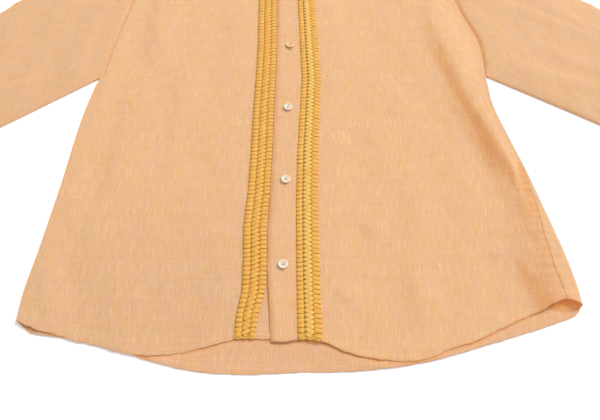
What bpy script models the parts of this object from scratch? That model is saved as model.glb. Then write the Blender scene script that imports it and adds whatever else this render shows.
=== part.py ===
"""A long-sleeved linen shirt with two braid bands, buttoned and laid flat on its back.

Metres, +Z up. The hem points to -Y and the neck to +Y. The tables give places as the
cloth lies: x from the line that the camera looks along, y up from the lowest point of
the back hem. The wearer's right is at -X.
"""
import math

import bmesh
import bpy
import numpy as np

# Driving sizes
CLOTH = 0.0011            # wall of every cloth piece
GAP = 0.0003              # between neighbouring pieces
SEAM_GAP = 0.0005         # the same along a side seam, measured round its fold
TURN_SEAM_GAP = 0.0011    # and where the seam lies in the turn itself
SEAM_OPENS = 0.07         # the seam opens over this share of the panel below the armpit
LENGTH = 0.7577           # lowest hem point to the top of the neckband
MIDDLE_X = -0.0050        # halfway between the two sleeve ends
BRAID_WIDTH = 0.0258
BRAID_CLEAR = 0.0006      # from the right braid to the placket's edge
BRAID_BASE = 0.0010       # braid thickness in the grooves between its columns
BRAID_RIB = 0.0011        # how far each column rounds up above that
BRAID_COLUMNS = 3
RIB_STEPS = 3             # segments across each rounded column
BRAID_ROWS = 34
PLACKET_ROWS = 24
NECK_TRIM = 0.0003        # the strips end this far below the neck edge
NECKBAND_WIDTH = 0.0300
NECKBAND_GAP = 0.0006     # from the neck edge, along the way that the band stands
NECKBAND_LEAN = 0.50      # lean of the band at a neck point, in radians
NECKBAND_EASE = 0.22      # and how much more it leans halfway to the closing
BUTTON_RADIUS = 0.0057
BUTTON_THICKNESS = 0.0023
THREAD_HOLE_RADIUS = 0.00055
THREAD_HOLE_RING = 0.0013 # from the button's middle to the middle of each hole
BUTTON_PITCH = 0.1130
FIRST_BUTTON = 0.1210     # centre of the lowest button above the lowest hem point
PLACKET_BUTTONS = 5
CLOSING_X = -0.0205       # x of the middle of the placket at the lowest hem point
CLOSING_SLANT = 0.0145    # and how much it moves in x for each metre up
BUTTON_SIDES = 16
HOLE_SIDES = 6
SHARP_ANGLE = 50          # degrees, edges sharper than this stay crisp

# Heights of the layers, each given at the middle of its wall
BACK_LEVEL = CLOTH / 2
UNDER_LEVEL = BACK_LEVEL + CLOTH + GAP
OVER_LEVEL = UNDER_LEVEL + CLOTH + GAP
PLACKET_LEVEL = OVER_LEVEL + CLOTH + GAP
LAP_END = 0.040           # the left front stays lapped up to here
LAP_OVER = 0.072          # and is down on the back from here on
EDGE_FLAT = 0.0080        # strip of flat cloth set out with each folded edge
FLAT_EDGE = 2 * CLOTH + GAP

# Side edges as they lie: x, y
RIGHT_SIDE = [(-0.2990, 0.0560), (-0.2990, 0.0920), (-0.2944, 0.1390), (-0.2900, 0.1920),
              (-0.2865, 0.2400), (-0.2835, 0.3000), (-0.2790, 0.3500), (-0.2715, 0.4000)]
RIGHT_ARMHOLE = [(-0.2715, 0.4000), (-0.2692, 0.4350), (-0.2630, 0.4850),
                 (-0.2530, 0.5480), (-0.2440, 0.6100), (-0.2400, 0.6780)]
LEFT_SIDE = [(0.3010, 0.0720), (0.3005, 0.0980), (0.2955, 0.1390), (0.2865, 0.1900),
             (0.2765, 0.2450), (0.2640, 0.3000), (0.2530, 0.3550), (0.2525, 0.4040)]
LEFT_ARMHOLE = [(0.2525, 0.4040), (0.2538, 0.4400), (0.2505, 0.4780),
                (0.2345, 0.5350), (0.2245, 0.6050), (0.2220, 0.6780)]

# Hems from the wearer's right to left: x, y
BACK_HEM = [(-0.2990, 0.0560), (-0.2820, 0.0440), (-0.2500, 0.0350), (-0.1990, 0.0245),
            (-0.1500, 0.0130), (-0.1050, 0.0030), (-0.0550, 0.0000), (0.0000, 0.0022),
            (0.0500, 0.0030), (0.1010, 0.0080), (0.1430, 0.0160), (0.1800, 0.0265),
            (0.2160, 0.0370), (0.2500, 0.0475), (0.2800, 0.0590), (0.3010, 0.0720)]
RIGHT_FRONT_HEM = [(-0.2990, 0.0560), (-0.2820, 0.0485), (-0.2590, 0.0420), (-0.2320, 0.0345),
                   (-0.2050, 0.0285), (-0.1750, 0.0205), (-0.1500, 0.0190), (-0.1270, 0.0210),
                   (-0.1000, 0.0270), (-0.0700, 0.0355), (-0.0450, 0.0365), (-0.0040, 0.0340)]
LEFT_FRONT_HEM = [(-0.0300, 0.0330), (-0.0150, 0.0327), (0.0000, 0.0354), (0.0200, 0.0340),
                  (0.0340, 0.0290), (0.0460, 0.0227), (0.0610, 0.0186), (0.0860, 0.0142),
                  (0.1160, 0.0130), (0.1320, 0.0160), (0.1530, 0.0248), (0.1860, 0.0356),
                  (0.2200, 0.0516), (0.2540, 0.0660), (0.2830, 0.0784), (0.3010, 0.0720)]

# Neck and shoulders: x, y
NECK_RIGHT = (-0.0950, 0.7310)
NECK_LEFT = (0.0750, 0.7310)
NECK_FRONT = [(-0.0950, 0.7310), (-0.0850, 0.7000), (-0.0660, 0.6700), (-0.0400, 0.6490),
              (-0.0100, 0.6410), (0.0200, 0.6490), (0.0460, 0.6700), (0.0650, 0.7000),
              (0.0750, 0.7310)]
NECK_BACK = [(-0.0950, 0.7310), (-0.0550, 0.7190), (-0.0100, 0.7150), (0.0350, 0.7190),
             (0.0750, 0.7310)]

# Free edge of the left front and its placket, and the inner edges of the braids: y, x
PLACKET_EDGE = [(0.033, -0.0300), (0.078, -0.0331), (0.123, -0.0365), (0.163, -0.0365),
                (0.225, -0.0352), (0.277, -0.0340), (0.349, -0.0338), (0.400, -0.0325),
                (0.458, -0.0320), (0.550, -0.0335), (0.645, -0.0330)]
LEFT_BRAID_EDGE = [(0.033, -0.0022), (0.095, -0.0035), (0.150, -0.0042), (0.210, -0.0045),
                   (0.276, -0.0030), (0.348, 0.0003), (0.400, 0.0028), (0.457, 0.0004),
                   (0.550, -0.0030), (0.645, -0.0026)]
RIGHT_BRAID_EDGE = [(0.036, -0.0444), (0.061, -0.0431), (0.090, -0.0375), (0.123, -0.0370),
                    (0.170, -0.0389), (0.232, -0.0348), (0.300, -0.0327), (0.375, -0.0317),
                    (0.458, -0.0293), (0.550, -0.0340), (0.645, -0.0336)]
UNDER_EDGE_X = -0.0040    # the right front ends here, beneath the placket

# Folded side edges, a row for each section: y, height of the fold, and how much of the
# back's cloth lies past the start of the fold (less than nothing where the front turns under)
RIGHT_FOLD = [(0.056, 0.0044, -0.0040), (0.150, 0.0040, -0.0040), (0.300, 0.0034, -0.0040),
              (0.345, 0.0033, -0.0025), (0.385, 0.0033, 0.0004), (0.400, 0.0025, 0.0006)]
LEFT_FOLD = [(0.072, 0.0095, 0.0264), (0.110, 0.0090, 0.0290), (0.150, 0.0080, 0.0248),
             (0.190, 0.0070, 0.0168), (0.220, 0.0062, 0.0135), (0.267, 0.0052, 0.0050),
             (0.320, 0.0042, 0.0010), (0.404, 0.0025, 0.0006)]
ROLL_WIDTH = 0.046        # the left front comes down from its side fold over this width

# Largest soft ridges of the fronts, a row for each: start x, y, end x, y, half width, height
FRONT_FOLDS = [
    (0.146, 0.600, 0.178, 0.440, 0.020, 0.0022),
    (0.178, 0.440, 0.205, 0.300, 0.018, 0.0026),
    (0.232, 0.470, 0.224, 0.370, 0.013, 0.0020),
    (0.120, 0.250, 0.150, 0.120, 0.022, 0.0012),
    (0.205, 0.150, 0.150, 0.075, 0.018, 0.0014),
    (-0.236, 0.520, -0.214, 0.380, 0.016, 0.0018),
    (-0.190, 0.400, -0.235, 0.200, 0.022, 0.0015),
    (-0.262, 0.190, -0.230, 0.090, 0.016, 0.0016),
    (-0.120, 0.620, -0.112, 0.480, 0.018, 0.0012),
]

RIDGE_END = 0.55          # height of such a ridge at its two ends, as a share of its middle

# Sleeves: the under edge from the armpit and the top edge from the shoulder to the wrist
RIGHT_SLEEVE_UNDER = [(-0.3835, 0.3168), (-0.4950, 0.2350), (-0.6240, 0.1370)]
RIGHT_SLEEVE_TOP = [(-0.3300, 0.6250), (-0.4160, 0.5545), (-0.4370, 0.5290),
                    (-0.5700, 0.3820), (-0.7005, 0.2370)]
LEFT_SLEEVE_UNDER = [(0.3840, 0.3217), (0.5000, 0.2435), (0.6160, 0.1590)]
LEFT_SLEEVE_TOP = [(0.3250, 0.6230), (0.4203, 0.5545), (0.4395, 0.5370),
                   (0.5650, 0.4010), (0.6905, 0.2650)]
SLEEVE_GAP = 0.0006       # from the armhole, so that straight runs between its points stay clear
SLEEVE_START = 0.003      # share of the armhole between the armpit and the sleeve's edge
SLEEVE_TURN = 4           # segments in the half turn of a sleeve's folded edge
SLEEVE_SINK = 0.0009      # how much lower its upper layer lies between the ridges
SLEEVE_SINK_END = 0.90    # share of the length at which that ends
SLEEVE_SETTLE = 0.08      # share of the length over which ridges and sinking set in
# Height of the sleeve along its length: share of the length, height
SLEEVE_HEIGHT = [(0.00, 0.0025), (0.10, 0.0044), (0.30, 0.0056), (0.70, 0.0058), (1.00, 0.0050)]
# Ridges on the sleeve: share across at the start, at the end, share along start, end, height
SLEEVE_RIDGES = [(0.12, 0.30, 0.02, 0.55, 0.0010), (0.34, 0.52, 0.06, 0.80, 0.0009),
                 (0.62, 0.70, 0.00, 0.45, 0.0009), (0.20, 0.16, 0.55, 0.98, 0.0008)]
RIDGE_SPREAD = 0.055      # half width of such a ridge as a share of the sleeve's width

# Shares of the way from the hem to the armpit at which a row of cloth lies
SIDE_SHARES = [0.0, 0.05, 0.11, 0.18, 0.26, 0.35, 0.44, 0.54, 0.64, 0.74, 0.82, 0.88, 0.91,
               0.94, 0.97, 1.0]
ARM_ROWS = 9              # rows from the armpit to the shoulder
ARM_START = 0.58          # share of a panel's height that lies below the armpit
FOLD_STEPS = 8            # columns round a folded edge of a front
BACK_STEPS = 11           # and of the back on the side where it turns up
TURN_DENSITY = 6          # columns that a half turn asks for, against one for EDGE_FLAT
EDGE_BLEND = 6            # how fast the columns near a fold ease into the even spacing
BACK_COLUMNS = 14
BACK_SHOULDER = 4 / 14    # share of the back's top edge that is one shoulder
# Shares across a front, from its side to its closing; the neck point lies on one of them
FRONT_COLUMNS = [0.05, 0.11, 0.18, 0.26, 0.35, 0.44, 0.54, 0.63, 0.72, 0.79, 0.86, 0.93, 1.0]
NECK_CORNER = 0.54
SLEEVE_RINGS = [0.0, 0.03, 0.08, 0.14, 0.21, 0.29, 0.38, 0.48, 0.58, 0.68, 0.78, 0.88, 0.95, 1.0]

LINEN = (0.856, 0.515, 0.270, 1.0)
MUSTARD = (0.774, 0.423, 0.078, 1.0)
SHELL = (0.880, 0.800, 0.680, 1.0)


def clear_scene():
    for old in list(bpy.data.objects):
        bpy.data.objects.remove(old, do_unlink=True)


def collection(name):
    group = bpy.data.collections.new(name)
    bpy.context.scene.collection.children.link(group)
    return group


def material(name, colour, roughness):
    finish = bpy.data.materials.new(name)
    finish.use_nodes = True
    shader = finish.node_tree.nodes["Principled BSDF"]
    shader.inputs["Base Color"].default_value = colour
    shader.inputs["Roughness"].default_value = roughness
    shader.inputs["Metallic"].default_value = 0.0
    return finish


def column(table, y, index=1):
    """A table's value at a height y, read between its rows."""
    return float(np.interp(y, [row[0] for row in table], [row[index] for row in table]))


def smooth_step(low, high, value):
    share = min(max((value - low) / (high - low), 0.0), 1.0)
    return share * share * (3 - 2 * share)


def soft_points(table, steps=12):
    """The points of the smooth curve through a table's rows (Catmull-Rom)."""
    rows = [np.array(row, float) for row in table]
    rows = [2 * rows[0] - rows[1]] + rows + [2 * rows[-1] - rows[-2]]
    points = []
    for a, b, c, d in zip(rows, rows[1:], rows[2:], rows[3:]):
        for step in range(steps):
            t = step / steps
            points.append(0.5 * (2 * b + (c - a) * t + (2 * a - 5 * b + 4 * c - d) * t ** 2
                                 + (3 * b - a - 3 * c + d) * t ** 3))
    return np.array(points + [rows[-2]])


def edge(*stretches):
    """An outline as a function of a share, from (points, share at which they end) in turn."""
    parts = []
    low = 0.0
    for points, high in stretches:
        steps = np.linalg.norm(np.diff(points, axis=0), axis=1)
        lengths = np.concatenate([[0], np.cumsum(steps)])
        parts.append((low, high, points, lengths))
        low = high

    def spot(share):
        low, high, points, lengths = next((part for part in parts if share <= part[1]), parts[-1])
        place = (share - low) / (high - low) * lengths[-1]
        return np.array([np.interp(place, lengths, points[:, axis]) for axis in (0, 1)])

    return spot


def between(points, low, high):
    """The stretch of a curve with rising x between two values of x."""
    ends = [np.array([x, np.interp(x, points[:, 0], points[:, 1])]) for x in (low, high)]
    inside = [point for point in points if low < point[0] < high]
    return np.array([ends[0]] + inside + [ends[1]])


class Plan:
    """The flat outline of a piece, and the places of its cloth spread evenly inside it."""

    def __init__(self, bottom, top, start, finish):
        self.bottom, self.top, self.start, self.finish = bottom, top, start, finish
        self.corners = bottom(0), bottom(1), top(0), top(1)

    def spot(self, s, t):
        across = (1 - s) * self.start(t) + s * self.finish(t)
        up = (1 - t) * self.bottom(s) + t * self.top(s)
        a, b, c, d = self.corners
        return across + up - (1 - t) * ((1 - s) * a + s * b) - t * ((1 - s) * c + s * d)

    def width(self, t):
        return float(np.linalg.norm(self.finish(t) - self.start(t)))


def body_plans():
    """Plans of the back (from the wearer's right side) and of the fronts (from their sides)."""
    neck = soft_points(NECK_FRONT)
    shoulder_right = np.array([RIGHT_ARMHOLE[-1], NECK_RIGHT])
    shoulder_left = np.array([LEFT_ARMHOLE[-1], NECK_LEFT])
    right = edge((soft_points(RIGHT_SIDE), ARM_START), (soft_points(RIGHT_ARMHOLE), 1.0))
    left = edge((soft_points(LEFT_SIDE), ARM_START), (soft_points(LEFT_ARMHOLE), 1.0))
    back = Plan(
        edge((soft_points(BACK_HEM), 1.0)),
        edge((shoulder_right, BACK_SHOULDER), (soft_points(NECK_BACK), 1 - BACK_SHOULDER),
             (shoulder_left[::-1], 1.0)),
        right, left)
    under_neck = between(neck, NECK_RIGHT[0], UNDER_EDGE_X)
    under = Plan(
        edge((soft_points(RIGHT_FRONT_HEM), 1.0)),
        edge((shoulder_right, NECK_CORNER), (under_neck, 1.0)),
        right, edge((np.array([RIGHT_FRONT_HEM[-1], under_neck[-1]]), 1.0)))
    over_neck = between(neck, PLACKET_EDGE[-1][1], NECK_LEFT[0])
    closing = [(x, y) for y, x in PLACKET_EDGE[:-1]] + [tuple(over_neck[0])]
    over = Plan(
        edge((soft_points(LEFT_FRONT_HEM)[::-1], 1.0)),
        edge((shoulder_left, NECK_CORNER), (over_neck[::-1], 1.0)),
        left, edge((soft_points(closing), 1.0)))
    return back, under, over


def row_shares():
    """Shares of the way up a panel for its rows."""
    above = [ARM_START + (1 - ARM_START) * step / ARM_ROWS for step in range(1, ARM_ROWS + 1)]
    return [share * ARM_START for share in SIDE_SHARES] + above


def ridges(x, y):
    """Height of the soft ridges of the fronts at a point."""
    height = 0.0
    for x0, y0, x1, y1, half_width, rise in FRONT_FOLDS:
        run = np.array([x1 - x0, y1 - y0])
        rel = np.array([x - x0, y - y0])
        along = min(max(float(rel @ run / (run @ run)), 0.0), 1.0)
        away = float(np.linalg.norm(rel - along * run))
        fade = RIDGE_END + (1 - RIDGE_END) * math.sin(math.pi * along)
        height = max(height, rise * fade * math.exp(-(away / half_width) ** 2))
    return height


def fold_path(height, run):
    """Place on a folded edge: how far in from the outline, and the height of the wall's middle.

    run is the length of cloth from the start of the fold, less than nothing on the lower layer.
    """
    radius = (height - CLOTH) / 2
    inset = radius + CLOTH / 2
    if run <= 0:
        return inset - run, BACK_LEVEL
    if run >= math.pi * radius:
        return inset + run - math.pi * radius, BACK_LEVEL + 2 * radius
    angle = run / radius
    return inset - radius * math.sin(angle), BACK_LEVEL + radius * (1 - math.cos(angle))


def fold_at(table, y, t):
    """Fold height at a row, its half turn, and where the back's cloth ends and the front's starts.

    From the armpit up the edge is open, and the two pieces lie flat on each other.
    """
    height = column(table, y, 1)
    half_turn = math.pi * (height - CLOTH) / 2
    seam = column(table, y, 2)
    gap = TURN_SEAM_GAP if 0 < seam < half_turn else SEAM_GAP
    opening = smooth_step(ARM_START - SEAM_OPENS, ARM_START, t)
    end = (1 - opening) * (seam - gap / 2) - opening * 2 * GAP
    start = (1 - opening) * (seam + gap / 2) + opening * half_turn
    return height, half_turn, end, start


def fold_runs(low, high, half_turn, steps):
    """Runs of cloth from low to high, close together round the turn, wider on the flat."""
    fine = np.linspace(low, high, 600)
    turning = (fine > 0) & (fine < half_turn)
    weight = np.where(turning, TURN_DENSITY / half_turn, 1 / EDGE_FLAT)
    total = np.concatenate([[0], np.cumsum((weight[1:] + weight[:-1]) / 2)])
    return np.interp(np.linspace(0, total[-1], steps + 1), total, fine)


def fold_points(runs, height, below, above):
    """Points round a folded edge: below and above give the place on either layer."""
    points = []
    for run in runs:
        inset, z = fold_path(height, run)
        share = (z - BACK_LEVEL) / (height - CLOTH)
        x, y = (1 - share) * below(inset) + share * above(inset)
        points.append((x, y, z))
    return points


def placed(x, y, z):
    return (x - MIDDLE_X, y - LENGTH / 2, z)


def smooth_shading(mesh):
    mesh.shade_smooth()
    mesh.set_sharp_from_angle(angle=math.radians(SHARP_ANGLE))


def add_object(name, mesh, finish, group):
    piece = bpy.data.objects.new(name, mesh)
    mesh.materials.append(finish)
    group.objects.link(piece)
    return piece


def sheet_shape(rows):
    """A grid whose points are set out one by one; each also keeps the number of its column."""
    count = len(rows[0])
    shape = bmesh.new()
    number = shape.verts.layers.int.new("column")
    bmesh.ops.create_grid(shape, x_segments=count - 1, y_segments=len(rows) - 1, size=1.0)
    for vert in shape.verts:
        across = round((vert.co.x + 1) / 2 * (count - 1))
        up = round((vert.co.y + 1) / 2 * (len(rows) - 1))
        vert[number] = across
        vert.co = placed(*rows[up][across])
    return shape


def mesh_of(shape, name):
    mesh = bpy.data.meshes.new(name)
    shape.to_mesh(mesh)
    shape.free()
    smooth_shading(mesh)
    return mesh


def cloth_wall(name, rows, finish, group, closed=False):
    """A cloth piece: the surface through the middle of its wall, thickened to both sides."""
    shape = sheet_shape(rows)
    if closed:
        bmesh.ops.remove_doubles(shape, verts=shape.verts, dist=0.00001)
    piece = add_object(name, mesh_of(shape, name), finish, group)
    wall = piece.modifiers.new("wall", "SOLIDIFY")
    wall.thickness = CLOTH
    wall.offset = 0.0
    wall.use_even_offset = True
    wall.use_quality_normals = True


def lap_level(x):
    """Level of the left front: over the right one at the closing, then down to the back."""
    return UNDER_LEVEL + (OVER_LEVEL - UNDER_LEVEL) * (1 - smooth_step(LAP_END, LAP_OVER, x))


def back_rows(back, under, over):
    """The back: flat on the table, turned up along the wearer's left side."""
    rows = []
    for t in row_shares():
        width = back.width(t)
        height, half_turn, end, _ = fold_at(RIGHT_FOLD, back.start(t)[1], t)
        near = fold_points((end, end - EDGE_FLAT / 2), height,
                           lambda inset: back.spot(inset / width, t),
                           lambda inset: under.spot(inset / under.width(t), t))
        height, half_turn, end, _ = fold_at(LEFT_FOLD, back.finish(t)[1], t)
        runs = fold_runs(-EDGE_FLAT, end, half_turn, BACK_STEPS)
        turned = fold_points(runs, height,
                             lambda inset: back.spot(1 - inset / width, t),
                             lambda inset: over.spot(inset / over.width(t), t))
        first = float(np.linalg.norm(np.array(near[-1][:2]) - back.start(t))) / width
        last = float(np.linalg.norm(np.array(turned[0][:2]) - back.finish(t))) / width
        row = near
        for step in range(1, BACK_COLUMNS):
            share = step / BACK_COLUMNS
            s = share + first * (1 - share) ** EDGE_BLEND - last * share ** EDGE_BLEND
            row.append((*back.spot(s, t), BACK_LEVEL))
        rows.append(row + turned)
    return rows


def front_rows(back, front, table, lapped):
    """One front from its folded side edge to the closing, row by row from the hem."""
    rows = []
    for t in row_shares():
        width = front.width(t)
        height, half_turn, _, start = fold_at(table, front.start(t)[1], t)
        runs = fold_runs(start, max(half_turn, start) + EDGE_FLAT / 2, half_turn, FOLD_STEPS)
        row = fold_points(runs, height,
                          lambda inset: back.spot((1 - inset / back.width(t)) if lapped
                                                  else inset / back.width(t), t),
                          lambda inset: front.spot(inset / width, t))
        side = np.array(row[-1][:2])
        first = float(np.linalg.norm(side - front.start(t))) / width
        rise = height - CLOTH / 2 - UNDER_LEVEL
        for share in FRONT_COLUMNS:
            x, y = front.spot(share + first * (1 - share) ** EDGE_BLEND, t)
            away = min(abs(side[0] - x) / ROLL_WIDTH, 1.0)
            level = lap_level(x) if lapped else UNDER_LEVEL
            z = level + ridges(x, y) + rise * 0.5 * (1 + math.cos(math.pi * away))
            row.append((x, y, z))
        rows.append(row)
    return rows


def strip(name, inner, outer, hem_table, under, heights, count, finish, group):
    """A strip sewn on a front from hem to neck: plain below, raised column by column above.

    inner and outer give its two edges as x at a height y.
    """
    hem = soft_points(hem_table)
    neck = soft_points(NECK_FRONT)
    rows = []
    for index in range(count + 1):
        row = []
        for step in range(len(heights)):
            share = step / (len(heights) - 1)
            ends = []
            for curve in (hem, neck):
                y = curve[len(curve) // 2][1]
                x = (1 - share) * inner(y) + share * outer(y)
                ends.append(float(np.interp(x, curve[:, 0], curve[:, 1])))
            y = ends[0] + (ends[1] - NECK_TRIM - ends[0]) * index / count
            row.append(((1 - share) * inner(y) + share * outer(y), y, under))
        rows.append(row)
    shape = sheet_shape(rows)
    number = shape.verts.layers.int["column"]
    for item in bmesh.ops.extrude_face_region(shape, geom=shape.faces[:])["geom"]:
        if isinstance(item, bmesh.types.BMVert):
            item.co.z += heights[item[number]]
    bmesh.ops.recalc_face_normals(shape, faces=shape.faces[:])
    add_object(name, mesh_of(shape, name), finish, group)


def strips(linen, yarn, group):
    """The placket, and a braid on either side of it."""
    def placket_edge(y):
        return column(PLACKET_EDGE, y)

    def left_braid(y):
        return column(LEFT_BRAID_EDGE, y)

    def right_braid(y):
        return min(column(RIGHT_BRAID_EDGE, y), placket_edge(y) - BRAID_CLEAR)

    on_over = OVER_LEVEL + CLOTH / 2 + GAP
    on_under = UNDER_LEVEL + CLOTH / 2 + GAP
    ribs = [BRAID_BASE + BRAID_RIB * abs(math.sin(math.pi * step / RIB_STEPS)) ** 0.5
            for step in range(BRAID_COLUMNS * RIB_STEPS + 1)]
    strip("placket", placket_edge, lambda y: left_braid(y) - GAP, LEFT_FRONT_HEM,
          on_over, [CLOTH] * 3, PLACKET_ROWS, linen, group)
    strip("braid_left", left_braid, lambda y: left_braid(y) + BRAID_WIDTH, LEFT_FRONT_HEM,
          on_over, ribs, BRAID_ROWS, yarn, group)
    strip("braid_right", lambda y: right_braid(y) - BRAID_WIDTH, right_braid, RIGHT_FRONT_HEM,
          on_under, ribs, BRAID_ROWS, yarn, group)


def sleeve_level(u, v):
    """Height of a sleeve's upper layer over that of its folded edges, ridges included.

    Between the ridges it lies a little lower, so that the hollow stays under 4 mm.
    """
    height = 0.0
    for u0, u1, v0, v1, rise in SLEEVE_RIDGES:
        along = min(max((v - v0) / (v1 - v0), 0.0), 1.0)
        middle = u0 + (u1 - u0) * along
        spread = math.exp(-((u - middle) / RIDGE_SPREAD) ** 2)
        height = max(height, rise * math.sin(math.pi * along) * spread)
    return height - SLEEVE_SINK * math.sin(math.pi * min(v / SLEEVE_SINK_END, 1.0))


def sleeve(name, armhole_table, under_table, top_table, outward, finish, group):
    """A sleeve flattened to an open tube, its wall open at the armhole and at the wrist."""
    armhole = edge((soft_points(armhole_table), 1.0))
    inset = np.array([outward * (FLAT_EDGE / 2 - SLEEVE_GAP), 0.0])

    def seam(u):
        return armhole(SLEEVE_START + (1 - SLEEVE_START) * u) - inset

    under = [tuple(seam(0))] + under_table
    top = [tuple(seam(1))] + top_table
    plan = Plan(seam, edge((np.array([under[-1], top[-1]]), 1.0)),
                edge((soft_points(under), 1.0)), edge((soft_points(top), 1.0)))
    rows = []
    for v in SLEEVE_RINGS:
        height = column(SLEEVE_HEIGHT, v)
        radius = (height - CLOTH) / 2
        width = float(np.linalg.norm(plan.spot(1, v) - plan.spot(0, v)))
        fold = (radius + CLOTH / 2) / width
        flat = [fold + (1 - 2 * fold) * step / ARM_ROWS for step in range(ARM_ROWS + 1)]
        turns = [math.pi * step / SLEEVE_TURN for step in range(1, SLEEVE_TURN)]
        rounded = [(radius / width * math.sin(angle), BACK_LEVEL + radius * (1 - math.cos(angle)))
                   for angle in turns]
        ring = [(*plan.spot(u, v), BACK_LEVEL) for u in flat]
        ring += [(*plan.spot(1 - fold + out, v), z) for out, z in rounded]
        settle = smooth_step(0.0, SLEEVE_SETTLE, v)
        ring += [(*plan.spot(u, v), BACK_LEVEL + 2 * radius + settle * sleeve_level(u, v))
                 for u in flat[::-1]]
        ring += [(*plan.spot(fold - out, v), z) for out, z in rounded[::-1]]
        rows.append((ring + ring[:1])[::-outward])
    cloth_wall(name, rows, finish, group, closed=True)


def neckband(back_neck, under_neck, over_neck, finish, group):
    """A band round the neck, open in front, folded flat at the two neck points.

    It takes the neck edges of the back and of the two fronts, each from the wearer's right.
    """
    radius = (FLAT_EDGE - CLOTH) / 2
    inset = radius + CLOTH / 2
    middle = (NECK_LEFT[0] + NECK_RIGHT[0]) / 2
    half = (NECK_LEFT[0] - NECK_RIGHT[0]) / 2

    def section(spot, z, lean, shift):
        """One section: the band stands up the page, leaning in towards the neck's middle."""
        tilt = -(spot[0] - middle) / half * lean
        way = np.array([math.sin(tilt), math.cos(tilt)])
        across = np.array([math.cos(tilt), -math.sin(tilt)])
        base = np.array(spot[:2]) + way * NECKBAND_GAP + across * shift
        return [(*(base + way * NECKBAND_WIDTH * step / 3), z) for step in range(4)]

    def fold(corner, side):
        """Sections round the fold at a neck point, from the back's level to the front's."""
        turned = []
        for step in range(1, 4):
            angle = math.pi * step / 4
            z = BACK_LEVEL + radius * (1 - math.cos(angle))
            shift = -side * (inset - radius * math.sin(angle))
            turned.append(section(np.array(corner), z, NECKBAND_LEAN, shift))
        return turned

    rows = []
    for step, spot in enumerate(under_neck[::-1]):
        share = step / (len(under_neck) - 1)
        lean = NECKBAND_LEAN + NECKBAND_EASE * math.sin(math.pi * share)
        rows.append(section(spot, UNDER_LEVEL, lean, inset * smooth_step(0.5, 1.0, share)))
    rows += fold(NECK_RIGHT, -1)[::-1]
    for step, spot in enumerate([NECK_RIGHT, *back_neck[1:-1], NECK_LEFT]):
        share = step / (len(back_neck) - 1)
        rows.append(section(spot, BACK_LEVEL, NECKBAND_LEAN, inset * (1 - 2 * share)))
    rows += fold(NECK_LEFT, 1)
    for step, spot in enumerate(over_neck[::-1]):
        share = step / (len(over_neck) - 1)
        lean = NECKBAND_LEAN + NECKBAND_EASE * math.sin(math.pi * share)
        shift = -inset * (1 - smooth_step(0.0, 0.5, share))
        rows.append(section(spot, lap_level(spot[0]), lean, shift))
    cloth_wall("neckband", rows, finish, group)


def button_mesh(group, cutters):
    """A turned shell button: rounded edge, raised rim, dished middle, four thread holes."""
    r, h = BUTTON_RADIUS, BUTTON_THICKNESS
    profile = [(0.0, h * 0.70), (r * 0.58, h * 0.72), (r * 0.72, h * 0.96), (r * 0.86, h),
               (r * 0.98, h * 0.78), (r, h * 0.50), (r * 0.90, h * 0.14), (r * 0.62, 0.0),
               (0.0, 0.0)]
    outline = bmesh.new()
    verts = [outline.verts.new((x, 0.0, z)) for x, z in profile]
    for a, b in zip(verts, verts[1:]):
        outline.edges.new((a, b))
    mesh = bpy.data.meshes.new("button_profile")
    outline.to_mesh(mesh)
    outline.free()
    turned = bpy.data.objects.new("button_blank", mesh)
    group.objects.link(turned)
    screw = turned.modifiers.new("turned", "SCREW")
    screw.steps = screw.render_steps = BUTTON_SIDES
    screw.use_merge_vertices = True
    screw.merge_threshold = 0.00001
    drill = bmesh.new()
    for quarter in range(4):
        angle = math.pi / 4 + quarter * math.pi / 2
        ends = bmesh.ops.create_cone(drill, cap_ends=True, segments=HOLE_SIDES,
                                     radius1=THREAD_HOLE_RADIUS, radius2=THREAD_HOLE_RADIUS,
                                     depth=3 * h)
        for vert in ends["verts"]:
            vert.co.x += THREAD_HOLE_RING * math.cos(angle)
            vert.co.y += THREAD_HOLE_RING * math.sin(angle)
    drill_mesh = bpy.data.meshes.new("thread_holes")
    drill.to_mesh(drill_mesh)
    drill.free()
    cutter = bpy.data.objects.new("thread_holes", drill_mesh)
    cutter.hide_render = True
    cutter.display_type = "WIRE"
    cutters.objects.link(cutter)
    cut = turned.modifiers.new("holes", "BOOLEAN")
    cut.operation = "DIFFERENCE"
    cut.object = cutter
    view = bpy.context.evaluated_depsgraph_get()
    view.update()
    solid = bpy.data.meshes.new_from_object(turned.evaluated_get(view))
    bpy.data.objects.remove(turned, do_unlink=True)
    solid.name = "button"
    smooth_shading(solid)
    return solid


def closing_line(y):
    """x of the middle of the placket, where the buttons sit."""
    return CLOSING_X + CLOSING_SLANT * y


def buttons(finish, group, cutters):
    mesh = button_mesh(group, cutters)
    mesh.materials.append(finish)
    seat = PLACKET_LEVEL + CLOTH / 2 + GAP
    places = [(f"button_{number + 1}", FIRST_BUTTON + number * BUTTON_PITCH, seat)
              for number in range(PLACKET_BUTTONS)]
    neck_y = min(y for _, y in NECK_FRONT) + NECKBAND_WIDTH / 2
    places.append(("button_neck", neck_y, OVER_LEVEL + CLOTH / 2 + GAP))
    for name, y, z in places:
        piece = bpy.data.objects.new(name, mesh)
        piece.location = placed(closing_line(y), y, z)
        group.objects.link(piece)


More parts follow.
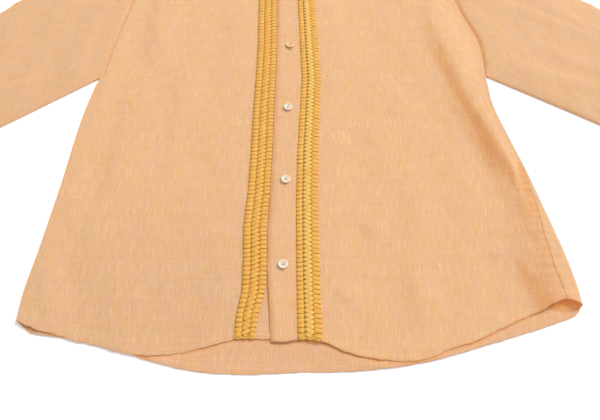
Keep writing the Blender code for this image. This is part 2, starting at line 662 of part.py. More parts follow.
def main():
    clear_scene()
    shirt = collection("linen_shirt")
    cutters = collection("cutters")
    linen = material("linen", LINEN, 0.85)
    yarn = material("mustard_braid", MUSTARD, 0.75)
    shell = material("shell_button", SHELL, 0.30)
    back, under, over = body_plans()
    back_cloth = back_rows(back, under, over)
    under_cloth = front_rows(back, under, RIGHT_FOLD, False)
    over_cloth = front_rows(back, over, LEFT_FOLD, True)
    cloth_wall("back", back_cloth, linen, shirt)
    cloth_wall("front_right", under_cloth, linen, shirt)
    cloth_wall("front_left", over_cloth, linen, shirt)
    strips(linen, yarn, shirt)
    sleeve("sleeve_right", RIGHT_ARMHOLE, RIGHT_SLEEVE_UNDER, RIGHT_SLEEVE_TOP, -1, linen, shirt)
    sleeve("sleeve_left", LEFT_ARMHOLE, LEFT_SLEEVE_UNDER, LEFT_SLEEVE_TOP, 1, linen, shirt)
    first = round(BACK_SHOULDER * BACK_COLUMNS) + 1
    back_neck = back_cloth[-1][first:first + BACK_COLUMNS - 2 * first + 3]
    neck_columns = sum(share >= NECK_CORNER for share in FRONT_COLUMNS)
    neckband(back_neck, under_cloth[-1][-neck_columns:], over_cloth[-1][:-neck_columns - 1:-1],
             linen, shirt)
    buttons(shell, shirt, cutters)


main()
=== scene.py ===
import math

import bpy
import numpy as np
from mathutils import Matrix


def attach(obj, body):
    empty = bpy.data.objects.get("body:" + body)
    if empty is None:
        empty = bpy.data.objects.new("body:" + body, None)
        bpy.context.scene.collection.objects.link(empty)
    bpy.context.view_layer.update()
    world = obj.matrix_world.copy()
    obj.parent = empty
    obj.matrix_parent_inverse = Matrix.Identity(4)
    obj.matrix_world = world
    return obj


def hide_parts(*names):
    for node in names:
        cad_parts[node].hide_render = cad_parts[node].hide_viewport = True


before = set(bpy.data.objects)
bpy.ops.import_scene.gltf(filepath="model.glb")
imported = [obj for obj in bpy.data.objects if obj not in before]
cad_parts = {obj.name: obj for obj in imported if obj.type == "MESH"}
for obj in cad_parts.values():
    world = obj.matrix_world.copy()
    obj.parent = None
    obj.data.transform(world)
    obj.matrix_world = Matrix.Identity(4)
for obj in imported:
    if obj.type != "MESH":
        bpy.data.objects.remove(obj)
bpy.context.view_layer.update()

# The camera and the table
# The shirt lies flat on a white table. It is seen from its hem end, 31 degrees off straight
# down, close enough that the sleeves, the shoulders and the neck pass out of the picture.
# The sizes below are measured from the lowest hem point up the page. LENGTH / 2 and MIDDLE_X are
# taken off them to put the shirt's middle on the frame's origin.
LENGTH = 0.7577
MIDDLE_X = -0.0050
CAMERA_TILT = math.radians(31)
CAMERA_DISTANCE = 0.7035
PICTURE_MIDDLE_UP = 0.193
CLOTH_TOP = 0.0020
aim = np.array([-MIDDLE_X, PICTURE_MIDDLE_UP - LENGTH / 2, CLOTH_TOP])
camera_data = bpy.data.cameras.new("camera")
camera_data.sensor_width = 36.0
camera_data.lens = 36.0
camera = bpy.data.objects.new("camera", camera_data)
camera.location = aim + CAMERA_DISTANCE * np.array([0, -math.sin(CAMERA_TILT), math.cos(CAMERA_TILT)])
camera.rotation_euler = (CAMERA_TILT, 0, 0)
bpy.context.scene.collection.objects.link(camera)
bpy.context.scene.camera = camera
bpy.context.scene.view_settings.view_transform = "Standard"


def linear(code):
    """A colour written as an sRGB hex number, turned to the linear values that shaders take."""
    parts = [int(code[at:at + 2], 16) / 255 for at in (1, 3, 5)]
    return (*(c / 12.92 if c <= 0.04045 else ((c + 0.055) / 1.055) ** 2.4 for c in parts), 1.0)


def add_node(tree, kind, links=None, **settings):
    """Adds a node. links names its inputs: a value is set there, and another node's output joined."""
    added = tree.nodes.new(kind)
    for name, value in settings.items():
        setattr(added, name, value)
    for name, value in (links or {}).items():
        if isinstance(value, bpy.types.NodeSocket):
            tree.links.new(value, added.inputs[name])
        else:
            added.inputs[name].default_value = value
    return added


def new_material(name):
    """An empty material with its tree and its shader."""
    made = bpy.data.materials.new(name)
    made.use_nodes = True
    return made, made.node_tree, made.node_tree.nodes["Principled BSDF"]


# Matt white laminate: one even pale tone, so rough that the cloth leaves no mirror image, and
# lit a little from within as a light table is, so that the shadows on it stay faint.
TABLE_SIZE = 14.0
TABLE_BELOW = 0.0002
laminate, tree, shader = new_material("white_laminate")
shader.inputs["Base Color"].default_value = linear("#fbfbfb")
shader.inputs["Roughness"].default_value = 0.9
shader.inputs["Emission Color"].default_value = (1.0, 1.0, 1.0, 1.0)
shader.inputs["Emission Strength"].default_value = 0.10
bpy.ops.mesh.primitive_plane_add(size=TABLE_SIZE, location=(0, 0, -TABLE_BELOW))
table = bpy.context.object
table.name = "table_top"
table.data.materials.append(laminate)

# Soft light: a bright white room, and one wide lamp far off to the upper right, low enough to
# give every fold a shaded side towards the hem and the left.
room = bpy.data.worlds.new("room")
room.use_nodes = True
room.node_tree.nodes["Background"].inputs["Color"].default_value = linear("#fbfcff")
room.node_tree.nodes["Background"].inputs["Strength"].default_value = 0.67
bpy.context.scene.world = room
TOWARDS_LAMP = np.array([0.58, 0.46, 0.672])
LAMP_DISTANCE = 12
lamp_data = bpy.data.lights.new("key", "AREA")
lamp_data.size = 7.0
lamp_data.energy = 1400
lamp = bpy.data.objects.new("key", lamp_data)
lamp.location = TOWARDS_LAMP * LAMP_DISTANCE
lamp.rotation_euler = (-lamp.location).to_track_quat("-Z", "Y").to_euler()
bpy.context.scene.collection.objects.link(lamp)


# The back panel
# One piece of linen from side to side and from the long shirt-tail hem to the shoulders. Its
# inside shows below the front hems and in the neck, and along the wearer's left side it is
# turned up over the front in an open soft fold. Cut from the bolt, hemmed by machine.

# CLOTH and GAP are the wall and the spacing of the solids, SHELL the thickness of the cloth here.
# A level is the height of the middle of a layer's cloth over the table.
CLOTH = 0.0011
GAP = 0.0003
SHELL = 0.0008
BACK_LEVEL = CLOTH / 2
# The strip beside a fold that is divided as finely as the fold, and the width of a seam's line
EDGE_FLAT = 0.0080
SEAM_GAP = 0.0001
# Share of a side that lies below the armpit, and the share over which the side seam opens there
ARM_START = 0.58
SEAM_OPENS = 0.07
# Outlines: x and y in metres, from the lowest hem point at y = 0
RIGHT_SIDE = [(-0.2990, 0.0560), (-0.2990, 0.0920), (-0.2944, 0.1390), (-0.2900, 0.1920),
              (-0.2865, 0.2400), (-0.2835, 0.3000), (-0.2790, 0.3500), (-0.2715, 0.4000)]
RIGHT_ARMHOLE = [(-0.2715, 0.4000), (-0.2692, 0.4350), (-0.2630, 0.4850),
                 (-0.2530, 0.5480), (-0.2440, 0.6100), (-0.2400, 0.6780)]
LEFT_SIDE = [(0.3010, 0.0720), (0.3005, 0.0980), (0.2955, 0.1390), (0.2865, 0.1900),
             (0.2765, 0.2450), (0.2640, 0.3000), (0.2530, 0.3550), (0.2525, 0.4040)]
LEFT_ARMHOLE = [(0.2525, 0.4040), (0.2538, 0.4400), (0.2505, 0.4780),
                (0.2345, 0.5350), (0.2245, 0.6050), (0.2220, 0.6780)]
BACK_HEM = [(-0.2990, 0.0560), (-0.2820, 0.0440), (-0.2600, 0.0400), (-0.2400, 0.0373),
            (-0.2050, 0.0293), (-0.1780, 0.0222), (-0.1500, 0.0130), (-0.1050, 0.0030),
            (-0.0550, 0.0000), (0.0000, 0.0022), (0.0500, 0.0030), (0.1010, 0.0080),
            (0.1430, 0.0160), (0.1800, 0.0265), (0.2160, 0.0370), (0.2500, 0.0472),
            (0.2740, 0.0552), (0.2930, 0.0628), (0.3010, 0.0720)]
NECK_RIGHT = (-0.0950, 0.7310)
NECK_LEFT = (0.0750, 0.7310)
NECK_BACK = [(-0.0950, 0.7310), (-0.0550, 0.7190), (-0.0100, 0.7150), (0.0350, 0.7190),
             (0.0750, 0.7310)]
# Share of the back's top edge that each shoulder takes
BACK_SHOULDER = 4 / 14
# Folded sides: y, height of the fold, cloth of the back that lies past the start of the fold
RIGHT_FOLD = [(0.056, 0.0044, -0.0040), (0.150, 0.0040, -0.0040), (0.300, 0.0034, -0.0040),
              (0.345, 0.0033, -0.0025), (0.385, 0.0033, 0.0004), (0.400, 0.0025, 0.0006)]
LEFT_FOLD = [(0.072, 0.0095, 0.0264), (0.110, 0.0090, 0.0290), (0.150, 0.0080, 0.0248),
             (0.190, 0.0070, 0.0168), (0.220, 0.0062, 0.0135), (0.267, 0.0052, 0.0050),
             (0.320, 0.0042, 0.0010), (0.404, 0.0025, 0.0006)]
# Rows of a panel, up from its hem: finely divided at the turned edge, with a row on the
# stitching, then a few millimetres apart
HEM_STITCH = 0.0052
HEM_ROWS = [0.0, 0.0004, 0.0012, 0.0024, 0.0040, HEM_STITCH, 0.0060, 0.0068, 0.0078, 0.0095]
ROW_PITCH = 0.0036
BACK_RUN = 0.70
# The turned hem: how wide and how much thicker it is, and the rounding of its fold and of its
# stitched edge
HEM_WIDTH = 0.0060
HEM_RISE = 0.00036
HEM_ROUND = 0.0012
HEM_STEP = 0.0008
# A hem's kinks, long and fine ones, and the height over which they fade out
KINK_RISE = 0.00030
FINE_KINK_RISE = 0.00018
KINKS_END = 0.012
# The front hems meet at this x. Under them the back is held up, and is painted in a warm shade.
HEMS_MEET = -0.018
BACK_HELD_UP = 0.00075
HELD_UP_REACH = 0.016
HELD_UP_HALF_WIDTH = 0.290
HEM_SHADE = 0.7
HEM_SHADE_REACH = 0.0040
HEM_SHADE_SETS_IN = (-0.24, -0.18)
# Where the inside of the open fold at the hem shows, with a painted glow: from x to x, from y to y, and
# its end
OPEN_FOLD_X = (0.258, 0.280)
OPEN_FOLD_Y = (0.060, 0.074)
OPEN_FOLD_END = (0.085, 0.110)
# The open face of the back is painted in a cool shade, cooler than the fronts by this
BACK_COOL_SHADE = 0.9
# Painted shade on slopes that turn from the lamp, and painted dimming on slopes that face it: the
# share of the flat cloth's light that a slope has lost, or gained, where the paint begins and where it is
# full
SLOPE_SHADE = (0.03, 0.38)
SLOPE_LIGHT = (0.10, 0.42)
# Beside the closing the cloth lies calmer: the waves' share there, and where it ends
CALM_SHARE = 0.4
CALM_ENDS = (0.05, 0.10)
draws = np.random.default_rng(11)


def smooth(rows, steps=16):
    """The points of a smooth line through a table's rows."""
    rows = [np.array(row, float) for row in rows]
    rows = [2 * rows[0] - rows[1]] + rows + [2 * rows[-1] - rows[-2]]
    points = []
    for a, b, c, d in zip(rows, rows[1:], rows[2:], rows[3:]):
        for step in range(steps):
            t = step / steps
            points.append(0.5 * (2 * b + (c - a) * t + (2 * a - 5 * b + 4 * c - d) * t ** 2
                                 + (3 * b - a - 3 * c + d) * t ** 3))
    return np.array(points + [rows[-2]])


def along(points, shares):
    """Places on a line at shares of its length."""
    run = np.concatenate([[0.0], np.cumsum(np.linalg.norm(np.diff(points, axis=0), axis=1))])
    place = np.asarray(shares) * run[-1]
    return np.stack([np.interp(place, run, points[:, axis]) for axis in range(points.shape[1])], -1)


def joined(*stretches):
    """An edge made of several lines, each given with the share of the edge at which it ends."""
    def places(shares):
        shares = np.atleast_1d(np.asarray(shares, float))
        found = np.zeros((len(shares), 2))
        low = 0.0
        for line, high in stretches:
            inside = (shares >= low) & (shares <= high + 1e-9)
            found[inside] = along(line, (shares[inside] - low) / (high - low))
            low = high
        return found
    return places


def between(points, low, high):
    """The stretch of a line with rising x between two values of x."""
    ends = [np.array([x, np.interp(x, points[:, 0], points[:, 1])]) for x in (low, high)]
    return np.array([ends[0]] + [point for point in points if low < point[0] < high] + [ends[1]])


class Pattern:
    """The flat outline of a panel, filled evenly between its four edges."""

    def __init__(self, hem, top, start, finish):
        self.hem, self.top, self.start, self.finish = hem, top, start, finish
        self.corners = [edge(share)[0] for edge in (hem, top) for share in (0, 1)]

    def at(self, s, t):
        """The points at shares s of the way across and t of the way up."""
        s = np.atleast_1d(s)[:, None]
        across = (1 - s) * self.start(t) + s * self.finish(t)
        up = (1 - t) * self.hem(s[:, 0]) + t * self.top(s[:, 0])
        a, b, c, d = self.corners
        return across + up - (1 - t) * ((1 - s) * a + s * b) - t * ((1 - s) * c + s * d)

    def width(self, t):
        """Straight width at a share of the way up."""
        return float(np.linalg.norm(self.finish(t) - self.start(t)))


def ease(low, high, value):
    """0 up to low, 1 from high on, and a smooth rise between them."""
    share = np.clip((value - low) / (high - low), 0.0, 1.0)
    return share * share * (3 - 2 * share)


def column(table, y, index=1):
    """A table's value at y, straight between its rows."""
    return float(np.interp(y, [row[0] for row in table], [row[index] for row in table]))


def fold_path(height, run):
    """How far in from the outline and how high the cloth lies, at a run round a folded edge."""
    radius = (height - CLOTH) / 2
    inset = radius + CLOTH / 2
    turn = np.clip(run, 0, math.pi * radius) / radius
    over = np.maximum(run - math.pi * radius, 0)
    return (inset - np.minimum(run, 0) + over - radius * np.sin(turn),
            BACK_LEVEL + radius * (1 - np.cos(turn)))


def fold_at(table, y, t):
    """A row's height of the fold, its half turn, where the back's cloth ends and the front's
    starts."""
    height = column(table, y)
    half_turn = math.pi * (height - CLOTH) / 2
    seam = column(table, y, 2)
    opening = ease(ARM_START - SEAM_OPENS, ARM_START, t)
    end = (1 - opening) * (seam - SEAM_GAP / 2) - opening * 2 * GAP
    start = (1 - opening) * (seam + SEAM_GAP / 2) + opening * half_turn
    return height, half_turn, end, start


def fold_spots(runs, height, below, above):
    """Points round a folded edge, from the place on the lower and on the upper layer."""
    inset, z = fold_path(height, runs)
    share = ((z - BACK_LEVEL) / (height - CLOTH))[:, None]
    plan = (1 - share) * below(inset) + share * above(inset)
    return np.column_stack([plan, z])


def row_shares(length):
    """Shares of the way up a panel: fine at the hem, then evenly spread."""
    low = [place / length for place in HEM_ROWS]
    count = round((1 - low[-1]) * length / ROW_PITCH)
    return low + list(np.linspace(low[-1], 1, count + 1)[1:])


def hem_lift(place):
    """The turned hem is three cloths thick, and its fold and its stitched edge are rounded."""
    inner_edge = ease(HEM_WIDTH - HEM_STEP, HEM_WIDTH + HEM_STEP, place)
    return HEM_RISE * ease(0.0, HEM_ROUND, place) * (1 - inner_edge)


def drawn_waves(count, shortest, longest, spread, rise):
    """Waves with a drawn length, direction and phase, and a set rise."""
    return [(draws.uniform(shortest, longest), draws.normal(0, spread), draws.uniform(0, 6.28), rise)
            for _ in range(count)]


# Soft unevenness of pressed linen that has lain for a while: long low waves mostly up the
# grain, and shorter shallow ones in every direction. Lengths and heights in metres.
WAVES = drawn_waves(7, 0.05, 0.13, 0.35, 0.00016) + drawn_waves(9, 0.016, 0.034, 0.9, 0.000035)


def unevenness(x, y):
    """Height of the waves, which are calmer beside the closing."""
    height = np.zeros(np.shape(x))
    for length, turn, phase, rise in WAVES:
        way = x * math.cos(turn) + y * math.sin(turn)
        height = height + rise * np.sin(2 * math.pi * way / length + phase)
    return height * (CALM_SHARE + (1 - CALM_SHARE) * ease(*CALM_ENDS, np.abs(x - MIDDLE_X)))


def front_hem_at(x):
    """How far up the page the hems of the two fronts lie."""
    return np.where(x < HEMS_MEET, np.interp(x, right_hem[:, 0], right_hem[:, 1]),
                    np.interp(x, left_hem[:, 0], left_hem[:, 1]))


def near_hem(x, y):
    """Painted light on the back: a warm shade painted close under the front hems, a painted glow inside
    the open side fold, and a painted cool shade elsewhere.
    """
    shade = HEM_SHADE * np.exp(-((y - front_hem_at(x)) / HEM_SHADE_REACH) ** 2)
    shade = shade * ease(*HEM_SHADE_SETS_IN, x)
    open_fold = ease(*OPEN_FOLD_X, x) * ease(*OPEN_FOLD_Y, y) * (1 - ease(*OPEN_FOLD_END, y))
    in_shade = np.maximum(ease(0.0, 0.3, shade), open_fold)
    return np.maximum(shade, 2 * open_fold) - BACK_COOL_SHADE * (1 - in_shade)


def under_front(x, y):
    """Where the back is held a little off the table, close under the front hems."""
    reach = np.exp(-((y - front_hem_at(x)) / HELD_UP_REACH) ** 2)
    return reach * ease(0.0, 0.020, HELD_UP_HALF_WIDTH - np.abs(x))


def hem_wander(x, seed):
    """A hem's small kinks: how far its edge strays up or down the page. seed sets their places."""
    bends = KINK_RISE * np.sin(x / 0.0041 + seed) * np.sin(x / 0.013 + 2 * seed)
    return bends + FINE_KINK_RISE * np.sin(x / 0.0019 + 3 * seed)


def turned_away(grid):
    """How far each point of a grid is turned from the lamp, and how far to it, both from 0 to 1."""
    normal = np.cross(np.gradient(grid, axis=1), np.gradient(grid, axis=0))
    normal /= np.linalg.norm(normal, axis=2, keepdims=True) + 1e-12
    upward = normal[..., 2]
    lit = (normal * np.sign(upward)[..., None]) @ TOWARDS_LAMP / TOWARDS_LAMP[2]
    return ease(*SLOPE_SHADE, 1 - lit), ease(*SLOPE_LIGHT, lit - 1)


def shirt_mesh(name, rows, grain, closed=False, painted_light=0.0):
    """A mesh from rows of points, moved into the frame, with a map of the cloth's grain in metres.

    It also carries painted light, which the linen reads: an orange tint painted on the slopes that
    are turned from the lamp, standing in for light that has come through or off other cloth, and
    where the painted-light argument says so: up to 1 for the painted tint, up to 2 where a painted
    glow is added as well, and down to -1 for a painted cool shade. Slopes that face the lamp are
    brought down to -2, which paints the cloth's face duller in full light.
    """
    count, across = len(rows), len(rows[0])
    points = np.array(rows, float).reshape(-1, 3)
    points[:, 0] -= MIDDLE_X
    points[:, 1] -= LENGTH / 2
    ring = across if closed else across - 1
    i, j = np.meshgrid(np.arange(count - 1), np.arange(ring), indexing="ij")
    a = (i * across + j).ravel()
    b = (i * across + (j + 1) % across).ravel()
    faces = np.stack([a, b, b + across, a + across], 1)
    mesh = bpy.data.meshes.new(name)
    mesh.from_pydata(points.tolist(), [], faces.tolist())
    grid = np.array(grain, float).reshape(count, -1, 2)
    i, j = i.ravel(), j.ravel()
    corners = np.stack([grid[i, j], grid[i, j + 1], grid[i + 1, j + 1], grid[i + 1, j]], 1)
    mesh.uv_layers.new(name="grain").data.foreach_set("uv", corners.astype(np.float32).ravel())
    painted_light = np.broadcast_to(painted_light, (count, across))
    shaded, facing_lamp = turned_away(np.array(rows, float))
    painted_light = np.where(painted_light > 1, painted_light, np.minimum(painted_light + shaded, 1)) - 2 * facing_lamp
    glow = mesh.attributes.new("painted_light", "FLOAT", "POINT")
    glow.data.foreach_set("value", painted_light.astype(np.float32).ravel())
    mesh.shade_smooth()
    return mesh


def panel_grain(rows, reference):
    """Grain map of a panel: cloth measured along each row from one column, and y up the grain."""
    rows = np.array(rows)
    steps = np.linalg.norm(np.diff(rows, axis=1), axis=2)
    run = np.concatenate([np.zeros((len(rows), 1)), np.cumsum(steps, axis=1)], axis=1)
    start = rows[:, reference, 0] - run[:, reference]
    return np.stack([run + start[:, None], rows[:, :, 1]], axis=2)


def dress(name, mesh, material, nodes=(), thick=SHELL):
    """Makes a piece of a mesh, with its cloth thickness and its finish, and hangs it on the
    frame."""
    piece = bpy.data.objects.new(name, mesh)
    bpy.context.scene.collection.objects.link(piece)
    mesh.materials.append(material)
    if thick:
        wall = piece.modifiers.new("cloth", "SOLIDIFY")
        wall.thickness = thick
        wall.offset = 0.0
        wall.use_even_offset = True
        wall.use_quality_normals = True
    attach(piece, "root")
    if nodes:
        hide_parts(*nodes)
    return piece


# Plain-woven linen, yarn-dyed: a peach warp crossed by a paler one, so that fine uneven streaks
# of cream, honey and dusty pink run up the cloth, with fainter ones across. The real threads
# lie 0.6 mm apart, too fine to show, so the streaks are drawn 0.95 mm wide and more. Matt, with
# the soft bloom of fibre ends at flat angles. STREAKS gives the width and the length of the
# patterns in millimetres: fine and broad warp streaks, weft streaks, slubs and large patches.
STREAKS = [(0.95, 26.0), (3.0, 44.0), (30.0, 1.1), (1.2, 14.0), (11.0, 22.0)]
linen, tree, shader = new_material("yarn_dyed_linen")
cloth_map = add_node(tree, "ShaderNodeUVMap", uv_map="grain").outputs["UV"]
streaks = []
for number, (wide, long) in enumerate(STREAKS):
    scaled = add_node(tree, "ShaderNodeVectorMath",
                      {0: cloth_map, 1: (1000 / wide, 1000 / long, 0.0)}, operation="MULTIPLY")
    moved = add_node(tree, "ShaderNodeVectorMath", {0: scaled.outputs[0], 1: (0.0, 0.0, 7.3 * number)})
    streak = add_node(tree, "ShaderNodeTexNoise", {"Vector": moved.outputs[0], "Scale": 1.0,
                                                  "Detail": 2.0, "Roughness": 0.65})
    streaks.append(streak.outputs["Fac"])


def tinted(under_it, mask, low, high, most, colour):
    """Lays a colour over another where a streak pattern is strong."""
    share = add_node(tree, "ShaderNodeMapRange", {"Value": mask, "From Min": low, "From Max": high,
                                                 "To Max": most})
    mixed = add_node(tree, "ShaderNodeMix", {"Factor": share.outputs["Result"], "A": under_it,
                                            "B": linear(colour)}, data_type="RGBA")
    return mixed.outputs["Result"]


body = tinted(linear("#dba975"), streaks[4], 0.36, 0.64, 1.0, "#daa881")
body = tinted(body, streaks[1], 0.50, 0.72, 0.50, "#d8a88a")
body = tinted(body, streaks[0], 0.50, 0.70, 0.60, "#edc59d")
body = tinted(body, streaks[3], 0.50, 0.72, 0.60, "#cc9a6a")
body = tinted(body, streaks[2], 0.48, 0.70, 0.38, "#e6bb8d")
# Painted light, standing in for light that comes through the thin cloth: an orange tint painted in
# the shaded places that the mesh's painted-light marks give and on every face that looks down, and
# a painted orange glow on those faces and where the marks pass 1. Where the marks are below 0 the
# cloth is painted a little cooler, as painted shade, and below -1 duller, as painted dimming.
LOOKS_DOWN = -0.3
UNDERSIDE_SHARE = 0.3
PAINTED_GLOW_STRENGTH = 0.20
painted_light = add_node(tree, "ShaderNodeAttribute", attribute_name="painted_light").outputs["Fac"]
facing = add_node(tree, "ShaderNodeNewGeometry")
facing = add_node(tree, "ShaderNodeSeparateXYZ", {0: facing.outputs["True Normal"]})
below = add_node(tree, "ShaderNodeMath", {0: facing.outputs["Z"], 1: LOOKS_DOWN}, operation="LESS_THAN")
warm = add_node(tree, "ShaderNodeMath", {0: below.outputs[0], 1: painted_light}, operation="MAXIMUM")
cool_shade_paint = add_node(tree, "ShaderNodeMath", {0: painted_light, 1: -1.0}, operation="MULTIPLY", use_clamp=True)
dimmed_light_paint = add_node(tree, "ShaderNodeMath", {0: painted_light, 1: -1.0, 2: -1.0}, operation="MULTIPLY_ADD",
                use_clamp=True)
for share, tint in ((warm, "#ffe8cb"), (cool_shade_paint, "#f9fafd"), (dimmed_light_paint, "#efece8")):
    body = add_node(tree, "ShaderNodeMix", {"Factor": share.outputs[0], "A": body, "B": linear(tint)},
                    data_type="RGBA", blend_type="MULTIPLY").outputs["Result"]
# Painted orange glow: its strength from the down-facing faces and from the marks above 1
inside = add_node(tree, "ShaderNodeMath", {0: painted_light, 1: 1.0}, operation="SUBTRACT", use_clamp=True)
faint = add_node(tree, "ShaderNodeMath", {0: below.outputs[0], 1: UNDERSIDE_SHARE}, operation="MULTIPLY")
lit = add_node(tree, "ShaderNodeMath", {0: faint.outputs[0], 1: inside.outputs[0]}, operation="MAXIMUM")
lit = add_node(tree, "ShaderNodeMath", {0: lit.outputs[0], 1: PAINTED_GLOW_STRENGTH}, operation="MULTIPLY")
tree.links.new(lit.outputs[0], shader.inputs["Emission Strength"])
shader.inputs["Emission Color"].default_value = linear("#ffae5c")
height = add_node(tree, "ShaderNodeMath", {0: streaks[0], 1: streaks[3]}, operation="ADD")
height = add_node(tree, "ShaderNodeMath", {0: streaks[2], 1: 0.5, 2: height.outputs[0]},
                  operation="MULTIPLY_ADD")
bump = add_node(tree, "ShaderNodeBump", {"Height": height.outputs[0], "Strength": 0.6,
                                        "Distance": 0.00025})
tree.links.new(body, shader.inputs["Base Color"])
tree.links.new(bump.outputs["Normal"], shader.inputs["Normal"])
shader.inputs["Roughness"].default_value = 0.88
shader.inputs["Specular IOR Level"].default_value = 0.25
shader.inputs["Subsurface Weight"].default_value = 0.30
shader.inputs["Subsurface Radius"].default_value = (1.0, 0.42, 0.16)
shader.inputs["Subsurface Scale"].default_value = 0.003
shader.inputs["Sheen Weight"].default_value = 0.10
shader.inputs["Sheen Roughness"].default_value = 0.45
shader.inputs["Sheen Tint"].default_value = linear("#ffe2c4")

shoulder_right = np.array([RIGHT_ARMHOLE[-1], NECK_RIGHT])
shoulder_left = np.array([LEFT_ARMHOLE[-1], NECK_LEFT])
right_edge = joined((smooth(RIGHT_SIDE), ARM_START), (smooth(RIGHT_ARMHOLE), 1.0))
left_edge = joined((smooth(LEFT_SIDE), ARM_START), (smooth(LEFT_ARMHOLE), 1.0))
back_top = joined((shoulder_right, BACK_SHOULDER), (smooth(NECK_BACK), 1 - BACK_SHOULDER),
                  (shoulder_left[::-1], 1.0))
back = Pattern(joined((smooth(BACK_HEM), 1.0)), back_top, right_edge, left_edge)

# The fronts' outlines stand here, because the back turns up along the left front's pattern and
# its hem lies in the shade of both.
RIGHT_FRONT_HEM = [(-0.2990, 0.0560), (-0.2820, 0.0485), (-0.2590, 0.0420), (-0.2320, 0.0345),
                   (-0.2050, 0.0285), (-0.1750, 0.0205), (-0.1500, 0.0190), (-0.1270, 0.0210),
                   (-0.1000, 0.0270), (-0.0700, 0.0355), (-0.0450, 0.0365), (-0.0040, 0.0340)]
LEFT_FRONT_HEM = [(-0.0300, 0.0330), (-0.0150, 0.0327), (0.0000, 0.0354), (0.0200, 0.0340),
                  (0.0340, 0.0290), (0.0460, 0.0227), (0.0610, 0.0186), (0.0860, 0.0142),
                  (0.1160, 0.0130), (0.1320, 0.0160), (0.1530, 0.0248), (0.1860, 0.0356),
                  (0.2200, 0.0516), (0.2540, 0.0660), (0.2830, 0.0784), (0.3010, 0.0720)]
NECK_FRONT = [(-0.0950, 0.7310), (-0.0850, 0.7000), (-0.0660, 0.6700), (-0.0400, 0.6490),
              (-0.0100, 0.6410), (0.0200, 0.6490), (0.0460, 0.6700), (0.0650, 0.7000),
              (0.0750, 0.7310)]
PLACKET_EDGE = [(0.033, -0.0300), (0.078, -0.0331), (0.123, -0.0365), (0.163, -0.0365),
                (0.225, -0.0352), (0.277, -0.0340), (0.349, -0.0338), (0.400, -0.0325),
                (0.458, -0.0320), (0.550, -0.0335), (0.645, -0.0330)]
# x of the right front's hidden edge, and the share of a front's top that its shoulder takes
UNDER_EDGE_X = -0.0040
NECK_CORNER = 0.54
# The left front ends this far inside the placket's own edge
PLACKET_TURN = 0.0050
neck_line = smooth(NECK_FRONT)
under_neck = between(neck_line, NECK_RIGHT[0], UNDER_EDGE_X)
over_neck = between(neck_line, PLACKET_EDGE[-1][1], NECK_LEFT[0])
under = Pattern(joined((smooth(RIGHT_FRONT_HEM), 1.0)),
                joined((shoulder_right, NECK_CORNER), (under_neck, 1.0)), right_edge,
                joined((np.array([RIGHT_FRONT_HEM[-1], under_neck[-1]]), 1.0)))
right_hem = smooth(RIGHT_FRONT_HEM)
left_hem = smooth(LEFT_FRONT_HEM)
inner_hem = between(left_hem, LEFT_FRONT_HEM[0][0] + PLACKET_TURN, LEFT_FRONT_HEM[-1][0])
inner_neck = between(neck_line, PLACKET_EDGE[-1][1] + PLACKET_TURN, NECK_LEFT[0])
inner_edge = smooth([tuple(inner_hem[0])] + [(x + PLACKET_TURN, y) for y, x in PLACKET_EDGE[1:-1]]
                    + [tuple(inner_neck[0])])
over = Pattern(joined((inner_hem[::-1], 1.0)),
               joined((shoulder_left, NECK_CORNER), (inner_neck[::-1], 1.0)), left_edge,
               joined((inner_edge, 1.0)))

# Columns of the back's flat part and of a fold
BACK_COLUMNS = 120
FOLD_COLUMNS = 22
# Ripples beside a sewn seam: spacing, height, and how far they reach from it
PUCKER_PITCH = 0.0105
PUCKER_RISE = 0.00042
PUCKER_REACH = 0.007
# The back's edge dips into the seam that lies on top, and is painted with a warm shade where its layers
# end
SEAM_DIP = 0.00006
SEAM_DIP_REACH = 0.0012
SEAM_SHADE_PAINT = 0.8
SEAM_SHADE_PAINT_REACH = 0.0022


def pucker(y, away):
    """Small ripples that the stitching draws into the cloth beside a seam."""
    ripple = np.sin(2 * math.pi * y / PUCKER_PITCH + 2.2 * np.sin(y / 0.031))
    ripple = ripple + 0.4 * np.sin(y / 0.0031)
    return PUCKER_RISE * ripple * np.exp(-away / PUCKER_REACH)


